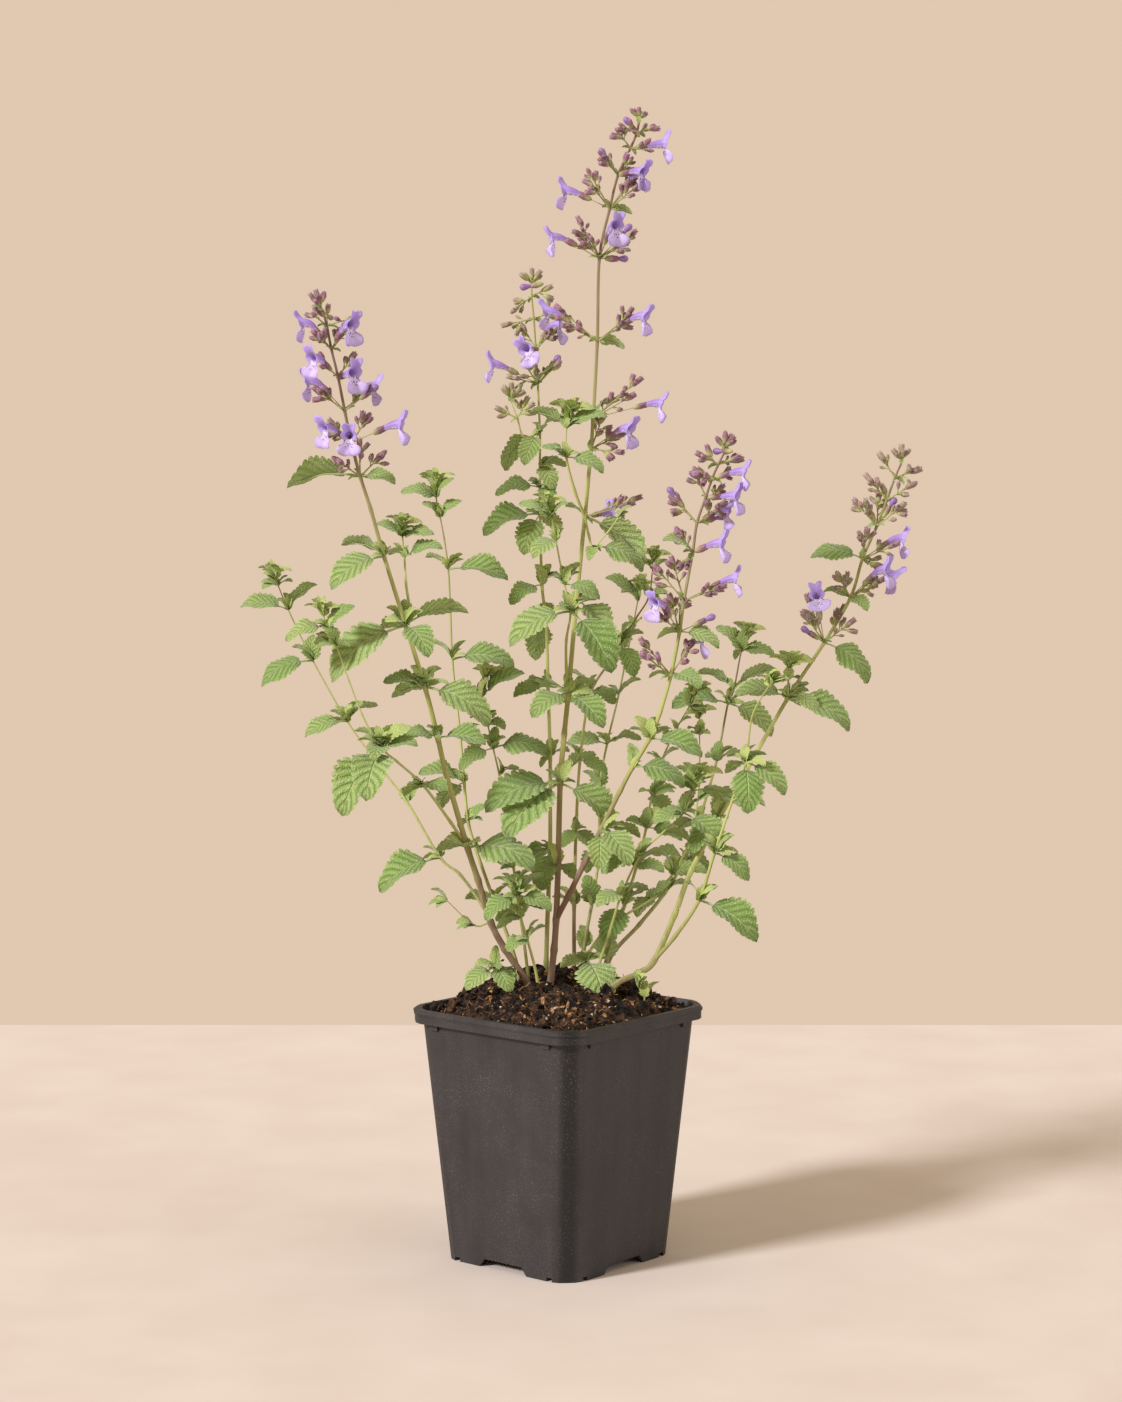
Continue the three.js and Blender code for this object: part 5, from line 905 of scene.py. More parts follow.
class Grown:
    """What has grown on one stem: its limbs, leaves, calyces, buds and open flowers."""

    def __init__(self, name):
        self.name = name
        self.corners, _ = corners_of([name])
        self.limbs = []
        self.leaves = []
        self.calyces = []
        self.buds = []
        self.flowers = []
        self.clusters = []
        self.small_calyces = []
        self.tips = []
        self.axils = []

    def has_corner(self, place):
        """Whether the solid of this stem has a corner at a place."""
        return self.corners.find(place)[2] < NEAR

    def limb(self, kind, start, joints, foot, top):
        """A stem or shoot through its joints, with all that grows at each."""
        places = [start] + [joint["place"] for joint in joints]
        shares = [i / (len(joints) - 1) for i in range(len(joints))] if len(joints) > 1 else [1]
        radii = [foot] + [foot + (top - foot) * share for share in shares]
        self.limbs.append({"kind": kind, "places": places, "radii": radii})
        rules = {"shoot": self.grow_shoot, "leaf": self.grow_leaf, "bud": self.grow_bud,
                 "flower": self.grow_flower, "cyme": self.grow_cyme}
        for i, joint in enumerate(joints):
            after = places[i + 2] if i + 2 < len(places) else 2 * places[i + 1] - places[i]
            direction = (after - places[i]).normalized()
            kinds = {growth["kind"] for growth in joint["grows"]}
            for growth in joint["grows"]:
                rules[growth["kind"]](joint["place"], growth)
                if growth["kind"] == "leaf" and not growth.get("young") and "cyme" not in kinds:
                    self.axils.append((joint["place"], growth["reach"], direction))
        if any(growth.get("young") for growth in joints[-1]["grows"]):
            self.tips.append((joints[-1]["place"] + direction, direction))

    def grow_shoot(self, root, growth):
        """A side shoot."""
        self.limb("shoot", root, growth["joints"], growth["foot"], growth["top"])

    def grow_leaf(self, root, growth):
        """A leaf, where its solid has its tip."""
        def has_tip(way):
            if way.length < WALLED_FROM:
                return self.has_corner(root + way)
            along = way.normalized()
            _, up = frame_of(along, Vector((0, LEAF_FACE_LEAN * (-1 if way.y <= 0 else 1), 1)))
            return self.has_corner(root + way + up * BLADE_THICK / 2)
        way = way_of(growth["reach"], has_tip, SIZES)
        if way:
            self.leaves.append({"root": root, "reach": way, "young": growth.get("young", False)})

    def grow_bud(self, root, growth):
        """A calyx with a furled corolla in it."""
        way = way_of(growth["reach"], lambda w: self.has_corner(root + w), SIZES)
        if way:
            direction = way.normalized()
            self.hang_calyx(root, root + way - direction * BUD_OUT, direction, CALYX_LONG)
            self.buds.append({"place": root + way - direction * BUD_LONG, "way": direction})

    def grow_flower(self, root, growth):
        """A calyx with an open corolla a little in front of its mouth."""
        def has_mouth(way):
            direction = way.normalized()
            right, up = frame_of(direction, upright_for(direction))
            mouth = root + direction * (way.length - COROLLA_TUBE + 1)
            return self.has_corner(mouth + (right + up) * CALYX_MOUTH * math.sqrt(0.5))
        way = way_of(growth["reach"], has_mouth, SIZES)
        if way:
            direction = way.normalized()
            mouth = root + direction * (way.length - COROLLA_TUBE + 1)
            self.hang_calyx(root, mouth, direction, CALYX_LONG)
            self.flowers.append({"place": mouth + direction * COROLLA_GAP, "way": direction})

    def hang_calyx(self, root, mouth, direction, long):
        """A calyx with its mouth at a place, and the fine stalk that it hangs on."""
        foot = mouth - direction * long
        if (foot - root).length > 0.5:
            self.limbs.append({"kind": "stalk", "places": [root, foot], "radii": FINE_STALK})
        self.calyces.append({"place": foot, "way": direction, "long": long})

    def grow_cyme(self, root, growth):
        """A flower stalk with calyces at its end, and small ones along it."""
        def has_end(way):
            direction = way.normalized()
            right, up = frame_of(direction, upright_for(direction))
            corner = root + way + (right + up) * STALK_RADIUS * math.sqrt(0.5)
            return any(self.has_corner(corner + direction * collar) for collar in COLLARS)
        way = way_of(growth["reach"], has_end, [1])
        if not way:
            return
        self.limbs.append({"kind": "stalk", "places": [root, root + way], "radii": CLUSTER_STALK})
        direction = way.normalized()
        right, up = frame_of(direction, upright_for(direction))
        high = min(1, max(0, (root.z - SHORTER_FROM) / SHORTER_OVER))
        length = CALYX_LONG * (1 - SHORTER_BY * high * high * (3 - 2 * high))
        ways = [(direction, length + 1)]
        for share in [0.25, 0.75, 0.5][:growth["count"] - 1][:2]:
            angle = 2 * math.pi * share
            leaning = (direction + right * CLUSTER_SPREAD * math.sin(angle)
                       - up * CLUSTER_SPREAD * math.cos(angle))
            ways.append((leaning, length))
        end = root + way
        self.clusters.append({"root": root, "way": way})
        for k in range(growth["count"] + 1):
            foot = root + way * chance.uniform(*SMALL_ALONG)
            aside = beside(direction, chance.uniform(*SMALL_LEAN))
            small = chance.uniform(*SMALL_LONG)
            mouth = foot + aside * (small + chance.uniform(*SMALL_STALK))
            self.small_calyces.append((foot, mouth, aside, small))
        for outward, far in ways:
            reach = outward.normalized() * far
            calyx_way = way_of(reach, lambda w: self.has_corner(end + w), SIZES)
            if calyx_way:
                long = calyx_way.length - CALYX_STALK
                self.hang_calyx(end, end + calyx_way, calyx_way.normalized(), long)

    def hang_small_calyces(self):
        """Hangs the small calyces that the solids leave out, each clear of every open corolla."""
        faces = []
        for flower in self.flowers:
            _, up = frame_of(flower["way"], upright_for(flower["way"]))
            faces.append(flower["place"] + flower["way"] * FACE_AHEAD - up * FACE_BELOW)
        for foot, mouth, direction, long in self.small_calyces:
            ends = (mouth, mouth - direction * long / 2)
            if all((end - face).length > FACE_REACH for end in ends for face in faces):
                self.hang_calyx(foot, mouth, direction, long)


plants = []
for row in STEMS:
    grown = Grown(row["name"])
    first, second = row["joints"][0]["place"], row["joints"][1]["place"]
    start = first.lerp(second, -0.3)
    start.z = ROOT_Z
    grown.limb("stem", start, row["joints"], row["foot"], row["top"])
    grown.hang_small_calyces()
    plants.append(grown)

# A new shoot, no taller than a thumb's width, that has come up through the peat on the right.
sprout = [Vector((41, -16, 122)), Vector((42, -16, 132)), Vector((39, -17, 140))]
for grown in plants:
    if grown.name == "stem_front_right":
        grown.limbs.append({"kind": "stalk", "places": sprout, "radii": [0.7, 0.6, 0.5]})
        grown.tips.append((sprout[-1], Vector((-0.2, 0, 1))))
        grown.axils.append((sprout[1], Vector((3, -1, 2)), Vector((0, 0, 1))))

# ---------------------------------------------------------------- stems
# Square stems of the mint family, hollow-sided and downy, woody and brown at the foot, olive in the
# middle and flushed with purple among the flowers. They swell a little at each joint.
STEM_STEP = 1.6
STEM_SWELL = 0.22
SWELL_REACH = 1.8
STEM_TAPER = 0.36
STEM_SIDE = 1.42
STEM_ROUNDING = 0.35
# Millimetres from streak to streak, across and along.
STEM_STREAK = (1.11, 1.11, 16.7)
# A thin shoot stays green, and a stem browns the more the thicker it is between these radii.
WEAK_RADIUS = 0.8
STRONG_RADIUS = 1.5
# How brown a flower stalk is, and a strong stem: at its middle, how much more at its ends, and any
# stem at least. A young one is less brown.
STALK_BROWN = 0.45
MIDDLE_BROWN = 0.12
ENDS_BROWN = 0.9
LEAST_BROWN = 0.05
# From green to brown or purple: where each tone stands, and the tone.
STEM_TONES = [(0.0, "#a6ae62"), (0.35, "#8b8f4a"), (0.65, "#77664a"), (1.0, "#694f3b")]
# The stems whose spikes are still young, and how green they are.
YOUNG_SPIKES = {"stem_centre_left": 0.8, "stem_right": 0.55}

# Living stem: green bark over wood, with a dull down that lights its edges.
stem_skin, tree = empty_material("downy_stem")
brown = add(tree, "ShaderNodeAttribute", attribute_name="brown").outputs["Fac"]
place = add(tree, "ShaderNodeTexCoord").outputs["Object"]
drawn = add(tree, "ShaderNodeMapping", {"Vector": place, "Scale": [1000 / mm for mm in STEM_STREAK]})
streak = add(tree, "ShaderNodeTexNoise", {"Vector": drawn, "Scale": 1.0, "Detail": 3.0})
wander = add(tree, "ShaderNodeMath", {0: streak, 1: -0.5}, operation="ADD")
share = add(tree, "ShaderNodeMath", {0: wander, 1: 0.5, 2: brown}, operation="MULTIPLY_ADD")
ramp = add(tree, "ShaderNodeValToRGB", {0: share})
tones = ramp.color_ramp.elements
tones[0].color = linear(STEM_TONES[0][1])
tones[1].color = linear(STEM_TONES[-1][1])
for where, tone in STEM_TONES[1:-1]:
    tones.new(where).color = linear(tone)
relief = add(tree, "ShaderNodeBump", {"Height": streak, "Strength": 0.5, "Distance": 0.0002})
skin = add(tree, "ShaderNodeBsdfPrincipled", {"Base Color": ramp, "Roughness": 0.6,
                                              "Sheen Weight": 0.3, "Sheen Roughness": 0.35,
                                              "Subsurface Weight": 0.05, "Normal": relief})
add(tree, "ShaderNodeOutputMaterial", {"Surface": skin})

tree, given = geometry_tree("stem_tube", Material="Material", Rounding="Float")
line = add(tree, "GeometryNodeMeshToCurve", {"Mesh": given["Geometry"]})
square = add(tree, "GeometryNodeCurvePrimitiveQuadrilateral", {"Width": STEM_SIDE, "Height": STEM_SIDE})
rounded = add(tree, "GeometryNodeFilletCurve", {"Curve": square, "Count": 2,
                                                "Radius": given["Rounding"], "Limit Radius": True},
              mode="POLY")
thick = add(tree, "GeometryNodeInputNamedAttribute", {"Name": "thickness"}, data_type="FLOAT")
tube = add(tree, "GeometryNodeCurveToMesh", {"Curve": line, "Profile Curve": rounded,
                                             "Scale": thick, "Fill Caps": True})
smooth = add(tree, "GeometryNodeSetShadeSmooth", {"Geometry": tube})
end_tree(tree, given, smooth)
stem_tube = tree


def smoothly(a, b, c, d, t):
    """A point between b and c, by a share t, on a smooth line through all four."""
    return (2 * b + (c - a) * t + (2 * a - 5 * b + 4 * c - d) * t * t + (3 * b - 3 * c + d - a) * t ** 3) / 2


def through(places, radii):
    """Points every few millimetres on a smooth line through the joints, with the radius at each."""
    line = []
    for i in range(len(places) - 1):
        b, c = places[i], places[i + 1]
        a = places[i - 1] if i else b + (b - c)
        d = places[i + 2] if i + 2 < len(places) else c + (c - b)
        steps = max(2, round((c - b).length / STEM_STEP))
        for k in range(steps + (i + 2 == len(places))):
            t = k / steps
            away = min(t, 1 - t) * (c - b).length
            swell = 1 + STEM_SWELL * math.exp(-(away / SWELL_REACH) ** 2)
            line.append((smoothly(a, b, c, d, t), (radii[i] + (radii[i + 1] - radii[i]) * t) * swell))
    return line


def brownness(limb, share, green):
    """How brown or purple a limb is: most at the foot and among the flowers of a strong stem."""
    if limb["kind"] == "stalk":
        return STALK_BROWN - 0.2 * green
    strong = min(1, max(0, (limb["radii"][0] - WEAK_RADIUS) / (STRONG_RADIUS - WEAK_RADIUS)))
    from_middle = abs(2 * share - 1) ** 1.4
    return strong * (MIDDLE_BROWN + ENDS_BROWN * from_middle) * (1 - 0.75 * green) + LEAST_BROWN


def with_values(mesh, name, kind, values):
    """Stores a value at each point of a mesh."""
    mesh.attributes.new(name, kind, "POINT").data.foreach_set("value", values)


for grown in plants:
    points = []
    edges = []
    thickness = []
    browns = []
    for limb in grown.limbs:
        line = through(limb["places"], limb["radii"])
        for k, (middle, radius) in enumerate(line):
            if k:
                edges.append((len(points) - 1, len(points)))
            points.append(PLANT_TO_WORLD @ middle)
            share = k / (len(line) - 1)
            thickness.append(radius * (1 - STEM_TAPER * share) / 1000)
            browns.append(brownness(limb, share, YOUNG_SPIKES.get(grown.name, 0.0)))
    mesh = bpy.data.meshes.new(grown.name + "_tubes")
    mesh.from_pydata(points, edges, [])
    with_values(mesh, "thickness", "FLOAT", thickness)
    with_values(mesh, "brown", "FLOAT", browns)
    tubes = run_nodes(shown(grown.name + "_tubes", mesh), stem_tube, Material=stem_skin,
                      Rounding=STEM_ROUNDING)
    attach(tubes, "root")
    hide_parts(grown.name)

# ---------------------------------------------------------------- leaves
# Grey-green leaves in pairs: ovate, scalloped, quilted between sunken veins and downy, paler below,
# on short stalks. The youngest, in tufts at the tips, are small and yellow-green.
LEAF_GREEN = "#b3c876"
LEAF_SHADE = "#7c9f48"
LEAF_YOUNG = "#cfdb78"
# Painted shade in the sunken veins between the domes.
LEAF_CREASE_SHADE = "#597a2b"
# Pale down, painted as a highlight on the tops of the domes.
LEAF_DOWN_HIGHLIGHT = "#d2d9b0"
LEAF_VEIN = "#c8d38c"
LEAF_UNDER = "#b6c483"
LEAF_THROUGH = "#c6de66"
QUILT_DEPTH = 0.022
MIDRIB_RADIUS = 0.018
MIDRIB_TAPER = 0.75
LEAFY_BELOW = 340
LEAF_ARCH = 0.11
LEAF_BLOTCH = 6.25
# A leaf is widest at this share of its blade. Its edge has rows of quilting, which slant forwards.
WIDEST_AT = 0.3
QUILT_ROWS = 13.0
QUILT_SLANT = 0.3
# As shares of the half width: the edge between scallops, how much further it stands out on one, and
# the width inside the edge. The points of a row lie further forward towards the edge.
EDGE_IN = 0.84
EDGE_OUT = 0.22
INNER_WIDTH = 0.97
ROW_FORWARD = 0.02
# How the edge waves along the blade, and by how much one side's waves are ahead, in radians.
EDGE_WAVES = 9
WAVE_SHIFT = 1.5
# Cells of the fine net across and along a leaf.
NET_CELLS = (15.3, 22.1, 1.7)
# How far the leaf lets light through, by a share.
LEAF_CLEAR = 0.32

# Living leaf: a matt blade, whose sunken veins part it into small domes, downy on top and thin
# enough to let light through. Painted shade darkens the creases, less on young leaves, and a painted
# highlight of pale down lightens the domes' tops. The net is drawn coarser than real, where it is a
# fraction of a millimetre.

leaf_flesh, tree = empty_material("downy_leaf")
across = add(tree, "ShaderNodeUVMap", uv_map="UVMap")
flat = add(tree, "ShaderNodeSeparateXYZ", {0: across})
sides = add(tree, "ShaderNodeMath", {0: flat.outputs[0], 1: 2.0, 2: -1.0}, operation="MULTIPLY_ADD")
out = add(tree, "ShaderNodeMath", {0: sides}, operation="ABSOLUTE")
slant = add(tree, "ShaderNodeMath", {0: out, 1: -QUILT_SLANT, 2: flat.outputs[1]},
            operation="MULTIPLY_ADD")
rows = add(tree, "ShaderNodeMath", {0: slant, 1: QUILT_ROWS}, operation="MULTIPLY")
row = add(tree, "ShaderNodeMath", {0: rows, 1: 1.0}, operation="PINGPONG")
midrib = add(tree, "ShaderNodeMapRange", {"Value": out, "From Min": 0.08, "From Max": 0.01},
             interpolation_type="SMOOTHSTEP")
stretched = add(tree, "ShaderNodeMapping", {"Vector": across, "Scale": NET_CELLS})
net = add(tree, "ShaderNodeTexVoronoi", {"Vector": stretched, "Scale": 1.0}, feature="DISTANCE_TO_EDGE")
cell = add(tree, "ShaderNodeMapRange", {"Value": net, "From Max": 0.4}, interpolation_type="SMOOTHSTEP")
dome = add(tree, "ShaderNodeMath", {0: row, 1: 0.4}, operation="POWER")
quilt = add(tree, "ShaderNodeMath", {0: cell, 1: 0.45, 2: dome}, operation="MULTIPLY_ADD")
cut = add(tree, "ShaderNodeMath", {0: 1.0, 1: midrib}, operation="SUBTRACT")
height = add(tree, "ShaderNodeMath", {0: quilt, 1: cut}, operation="MULTIPLY")
leaf_size = add(tree, "ShaderNodeAttribute", attribute_name="size").outputs["Fac"]
deep = add(tree, "ShaderNodeMath", {0: leaf_size, 1: QUILT_DEPTH}, operation="MULTIPLY")
relief = add(tree, "ShaderNodeBump", {"Height": height, "Strength": 0.9, "Distance": deep})
place = add(tree, "ShaderNodeTexCoord").outputs["Object"]
blotch = add(tree, "ShaderNodeTexNoise", {"Vector": place, "Scale": 1000 / LEAF_BLOTCH, "Detail": 4.0})
young = add(tree, "ShaderNodeAttribute", attribute_name="young").outputs["Fac"]
shade = add(tree, "ShaderNodeAttribute", attribute_name="shade").outputs["Fac"]
below = add(tree, "ShaderNodeAttribute", attribute_name="below").outputs["Fac"]
tone = add(tree, "ShaderNodeMix", {0: shade, 6: linear(LEAF_SHADE), 7: linear(LEAF_GREEN)},
           data_type="RGBA")
aged = add(tree, "ShaderNodeMix", {0: young, 6: tone, 7: linear(LEAF_YOUNG)}, data_type="RGBA")
mottle = add(tree, "ShaderNodeMapRange", {"Value": blotch, "From Min": 0.35, "From Max": 0.75,
                                          "To Max": 0.18})
pale = add(tree, "ShaderNodeMix", {0: mottle, 6: aged, 7: linear(LEAF_UNDER)}, data_type="RGBA")
# Painted shade: the colour darkens towards the creases' colour where the quilting is low.
low = add(tree, "ShaderNodeMapRange", {"Value": quilt, "From Min": 0.4, "From Max": 1.25,
                                       "To Min": 0.8, "To Max": 0.0})
smooth = add(tree, "ShaderNodeMath", {0: young, 1: -0.6, 2: 1.0}, operation="MULTIPLY_ADD")
crease_shade = add(tree, "ShaderNodeMath", {0: low, 1: smooth}, operation="MULTIPLY")
crease_shaded = add(tree, "ShaderNodeMix", {0: crease_shade, 6: pale, 7: linear(LEAF_CREASE_SHADE)}, data_type="RGBA")
# Painted highlight: the tops of the domes are lightened towards the down's pale colour.
high = add(tree, "ShaderNodeMapRange", {"Value": quilt, "From Min": 0.95, "From Max": 1.45,
                                        "To Max": 0.5})
down_and_highlight = add(tree, "ShaderNodeMix", {0: high, 6: crease_shaded, 7: linear(LEAF_DOWN_HIGHLIGHT)}, data_type="RGBA")
rim = add(tree, "ShaderNodeMapRange", {"Value": out, "From Min": 0.86, "From Max": 1.0})
line = add(tree, "ShaderNodeMath", {0: midrib, 1: rim}, operation="MAXIMUM")
vein_share = add(tree, "ShaderNodeMath", {0: line, 1: 0.4}, operation="MULTIPLY")
veined = add(tree, "ShaderNodeMix", {0: vein_share, 6: down_and_highlight, 7: linear(LEAF_VEIN)}, data_type="RGBA")
below_share = add(tree, "ShaderNodeMath", {0: below, 1: 0.4}, operation="MULTIPLY")
colour = add(tree, "ShaderNodeMix", {0: below_share, 6: veined, 7: linear(LEAF_UNDER)}, data_type="RGBA")
flesh = add(tree, "ShaderNodeBsdfPrincipled", {"Base Color": colour, "Roughness": 0.62,
                                               "Sheen Weight": 0.3, "Sheen Roughness": 0.45,
                                               "Normal": relief})
glow = add(tree, "ShaderNodeBsdfTranslucent", {"Color": linear(LEAF_THROUGH), "Normal": relief})
leaf_light = add(tree, "ShaderNodeMixShader", {0: LEAF_CLEAR, 1: flesh, 2: glow})
add(tree, "ShaderNodeOutputMaterial", {"Surface": leaf_light})


def ovate(b):
    """Half the width of a leaf along its blade, as a share of the widest."""
    if b < WIDEST_AT:
        return math.sqrt(math.sin(math.pi / 2 * b / WIDEST_AT))
    return max(0, math.cos(math.pi / 2 * (b - WIDEST_AT) / (1 - WIDEST_AT))) ** 0.56


def leaf_shape(name, stalk, half, teeth, per_tooth, columns, fold, droop, wave, thick):
    """A leaf one unit long: a thin closed blade with scalloped edges, and its stalk that runs on
    below the blade as its midrib. Stalk and half are shares of its length, and columns are where it
    has points, as shares of its half width. Fold lifts its sides, wave lifts and drops its edges,
    and droop bends its tip down."""
    made = bmesh.new()
    uv = made.loops.layers.uv.new("UVMap")
    under = made.verts.layers.float.new("below")
    facing = made.faces.layers.int.new("facing")
    spots = {}
    blade = 1 - stalk
    tooth = {3: [0.0, 0.32, 0.74], 4: [0.0, 0.22, 0.52, 0.82]}[per_tooth]
    depth = {3: [0, 1, 0.9], 4: [0, 0.85, 1, 0.75]}[per_tooth]
    scallops = [((k + t) / teeth, d) for k in range(teeth) for t, d in zip(tooth, depth)]
    stations = [(0.01, 0.5)] + scallops + [(1, 1)]
    shares = [-c for c in columns[:0:-1]] + columns
    for side in (1, -1):
        rows = []
        for i, (b, d) in enumerate(stations):
            row = []
            for c in shares:
                edge = abs(c) == 1
                reach = (EDGE_IN + EDGE_OUT * d) if edge else INNER_WIDTH
                width = half * blade * ovate(max(b, 0.01)) * c * reach if b < 1 else 0
                s = stalk + blade * (b + (ROW_FORWARD * abs(c) if 0.05 < b < 0.95 else 0))
                waved = math.sin(EDGE_WAVES * b + (WAVE_SHIFT if c > 0 else 0))
                lift = (LEAF_ARCH * 4 * s * (1 - s) + fold * abs(width) - droop * max(0, s - 0.5) ** 2
                        + wave * half * abs(c) ** 2 * waved)
                belly = 0 if edge or b == 1 else side * thick / 2
                vert = made.verts.new((width, min(s, 1), lift + belly))
                vert[under] = 0.5 if edge else 1.0 if side < 0 else 0.0
                spots[vert] = (0.5 + 0.5 * c, b)
                row.append(vert)
            rows.append(row)
        for low, high in zip(rows, rows[1:]):
            for k in range(len(shares) - 1):
                loop = [low[k], low[k + 1], high[k + 1], high[k]]
                made.faces.new(loop if side > 0 else loop[::-1])[facing] = side
    rings = []
    for s in sorted({0.0, stalk * 0.5, stalk, stalk + 0.35 * blade, stalk + 0.75 * blade}):
        lift = LEAF_ARCH * 4 * s * (1 - s)
        radius = MIDRIB_RADIUS * (1 - MIDRIB_TAPER * s)
        sunk = thick * 0.6 if s > stalk * 0.9 else 0
        middle = Vector((0, s, lift - sunk - droop * max(0, s - 0.5) ** 2))
        ring = []
        for angle in (math.pi / 4 + k * math.pi / 2 for k in range(4)):
            vert = made.verts.new(middle + Vector((radius * math.cos(angle), 0, radius * math.sin(angle))))
            vert[under] = 0.8
            spots[vert] = (0.5, 0.0)
            ring.append(vert)
        rings.append(ring)
    for low, high in zip(rings, rings[1:]):
        for k in range(4):
            made.faces.new([low[(k + 1) % 4], low[k], high[k], high[(k + 1) % 4]])
    made.faces.new(rings[0])
    made.faces.new(rings[-1][::-1])
    for face in made.faces:
        face.smooth = True
        for loop in face.loops:
            loop[uv].uv = spots[loop.vert]
    bmesh.ops.remove_doubles(made, verts=made.verts, dist=1e-5)
    for edge in made.edges:
        edge.smooth = len({face[facing] for face in edge.link_faces}) == 1
    return mesh_of(name, made)


WIDE = [0, 0.35, 0.7, 1]
PLAIN = [0, 0.55, 1]
LEAF_KINDS = [
    # lengths from this up, and the shapes to pick from
    (24, [leaf_shape("leaf_a", 0.22, 0.38, 8, 4, WIDE, 0.2, 0.4, 0.06, 0.012),
          leaf_shape("leaf_b", 0.22, 0.4, 8, 4, WIDE, -0.05, 0.6, 0.1, 0.012),
          leaf_shape("leaf_c", 0.22, 0.37, 9, 4, WIDE, 0.4, 0.2, -0.08, 0.012)]),
    (18, [leaf_shape("leaf_d", 0.22, 0.4, 7, 3, PLAIN, 0.2, 0.3, 0.08, 0.018),
          leaf_shape("leaf_e", 0.22, 0.41, 7, 3, PLAIN, 0.1, 0.5, -0.08, 0.018)]),
    (12, [leaf_shape("leaf_f", 0.1, 0.38, 6, 3, PLAIN, 0.2, 0.3, 0.08, 0.022),
          leaf_shape("leaf_g", 0.1, 0.4, 5, 3, PLAIN, 0.1, 0.4, -0.08, 0.022)]),
    (0, [leaf_shape("leaf_h", 0.0, 0.3, 3, 3, [0, 1], 0.2, 0.3, 0.06, 0.03),
         leaf_shape("leaf_i", 0.0, 0.33, 3, 3, [0, 1], 0.35, 0.2, -0.06, 0.03),
         leaf_shape("leaf_j", 0.0, 0.25, 3, 3, [0, 1], 0.1, 0.6, 0.1, 0.03)]),
]
LEAF_MESHES = [mesh for _, meshes in LEAF_KINDS for mesh in meshes]

# A tree of nodes sets a shape at each point, with the turn, size and kind that the point holds.
tree, given = geometry_tree("set_in_place", Shapes="Collection", Material="Material")
kind = add(tree, "GeometryNodeInputNamedAttribute", {"Name": "kind"}, data_type="INT")
turn = add(tree, "GeometryNodeInputNamedAttribute", {"Name": "turn"}, data_type="QUATERNION")
size = add(tree, "GeometryNodeInputNamedAttribute", {"Name": "size"}, data_type="FLOAT")
spots = add(tree, "GeometryNodeMeshToPoints", {"Mesh": given["Geometry"]})
shapes = add(tree, "GeometryNodeCollectionInfo", {"Collection": given["Shapes"], "Separate Children": True,
                                                  "Reset Children": True})
laid = add(tree, "GeometryNodeInstanceOnPoints",
           {"Points": spots, "Instance": shapes, "Pick Instance": True,
            "Instance Index": kind, "Rotation": turn, "Scale": size})
end_tree(tree, given, laid)
set_in_place = tree


def turn_of(along, up):
    """The turn in the world that lays a shape's y along a direction of the plant, and its z near up."""
    side = along.cross(up).normalized()
    axes = Matrix((side, along, side.cross(along))).transposed()
    return (Matrix.Rotation(PLANT_TURN, 3, "Z") @ axes).to_quaternion()


def placed(name, spots, shapes, material, nodes):
    """A piece that has a shape at each spot: its place, turn, size in millimetres, kind and values."""
    mesh = bpy.data.meshes.new(name)
    mesh.from_pydata([PLANT_TO_WORLD @ spot["place"] for spot in spots], [], [])
    with_values(mesh, "turn", "QUATERNION", [x for spot in spots for x in spot["turn"]])
    with_values(mesh, "size", "FLOAT", [spot["size"] / 1000 for spot in spots])
    with_values(mesh, "kind", "INT", [spot["kind"] for spot in spots])
    for value in ("young", "shade"):
        with_values(mesh, value, "FLOAT", [spot[value] for spot in spots])
    piece = run_nodes(shown(name, mesh), set_in_place, Shapes=shapes, Material=material)
    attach(piece, "root")
    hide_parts(*nodes)


leaf_shapes = shape_set("leaf_shape", LEAF_MESHES)
chance = random.Random(41)
# How many young leaves there are in a tuft at a tip. The first one's lean and length, and how much
# each next one leans and measures more, and stands lower.
TUFT_LEAVES = 13
TUFT_LEAN = (0.1, 0.08)
TUFT_LENGTH = (5.0, 0.25)
TUFT_DROP = 0.35
# The longest young leaves in an axil, low and high on the plant.
LOW_AXIL_LEAF = 13
HIGH_AXIL_LEAF = 9


def tufts(grown):
    """The small leaves in the axils, over the growing tips and under the flower stalks."""
    small = []
    for tip, direction in grown.tips:
        for k in range(TUFT_LEAVES):
            lean = TUFT_LEAN[0] + TUFT_LEAN[1] * k
            length = TUFT_LENGTH[0] + TUFT_LENGTH[1] * k
            way = beside(direction, lean) * length * chance.uniform(0.85, 1.25)
            small.append({"root": tip - direction * TUFT_DROP * k, "reach": way, "young": True})
    for root, reach, direction in grown.axils:
        for k in range(chance.choice([2, 2, 3, 4])):
            longest = LOW_AXIL_LEAF if root.z < LEAFY_BELOW else HIGH_AXIL_LEAF
            way = beside(direction * 0.8 + reach.normalized() * 0.7, 0.5) * chance.uniform(4.0, longest)
            small.append({"root": root, "reach": way, "young": k > 0})
    for cluster in grown.clusters:
        way = beside(cluster["way"].normalized() - Vector((0, 0, 0.5)), 0.4) * chance.uniform(3.5, 6.0)
        small.append({"root": cluster["root"], "reach": way, "young": False})
    return small


for grown in plants:
    spots = []
    for blade in grown.leaves + tufts(grown):
        long = blade["reach"].length
        along = blade["reach"] / long
        lean = LEAF_FACE_LEAN * (1 if blade["reach"].y > 0 else -1)
        _, up = frame_of(along, Vector((0, lean, 1)))
        first = 0
        for least_length, meshes in LEAF_KINDS:
            if long >= least_length:
                kind = first + chance.randrange(len(meshes))
                break
            first += len(meshes)
        young = chance.uniform(0.7, 1.0) if blade["young"] else min(0.5, max(0.0, 0.45 - long / 50))
        spots.append({"place": blade["root"], "turn": turn_of(along, up), "size": long, "kind": kind,
                      "young": young, "shade": chance.uniform(0, 1)})
    placed(grown.name + "_leaves", spots, leaf_shapes, leaf_flesh, [grown.name])

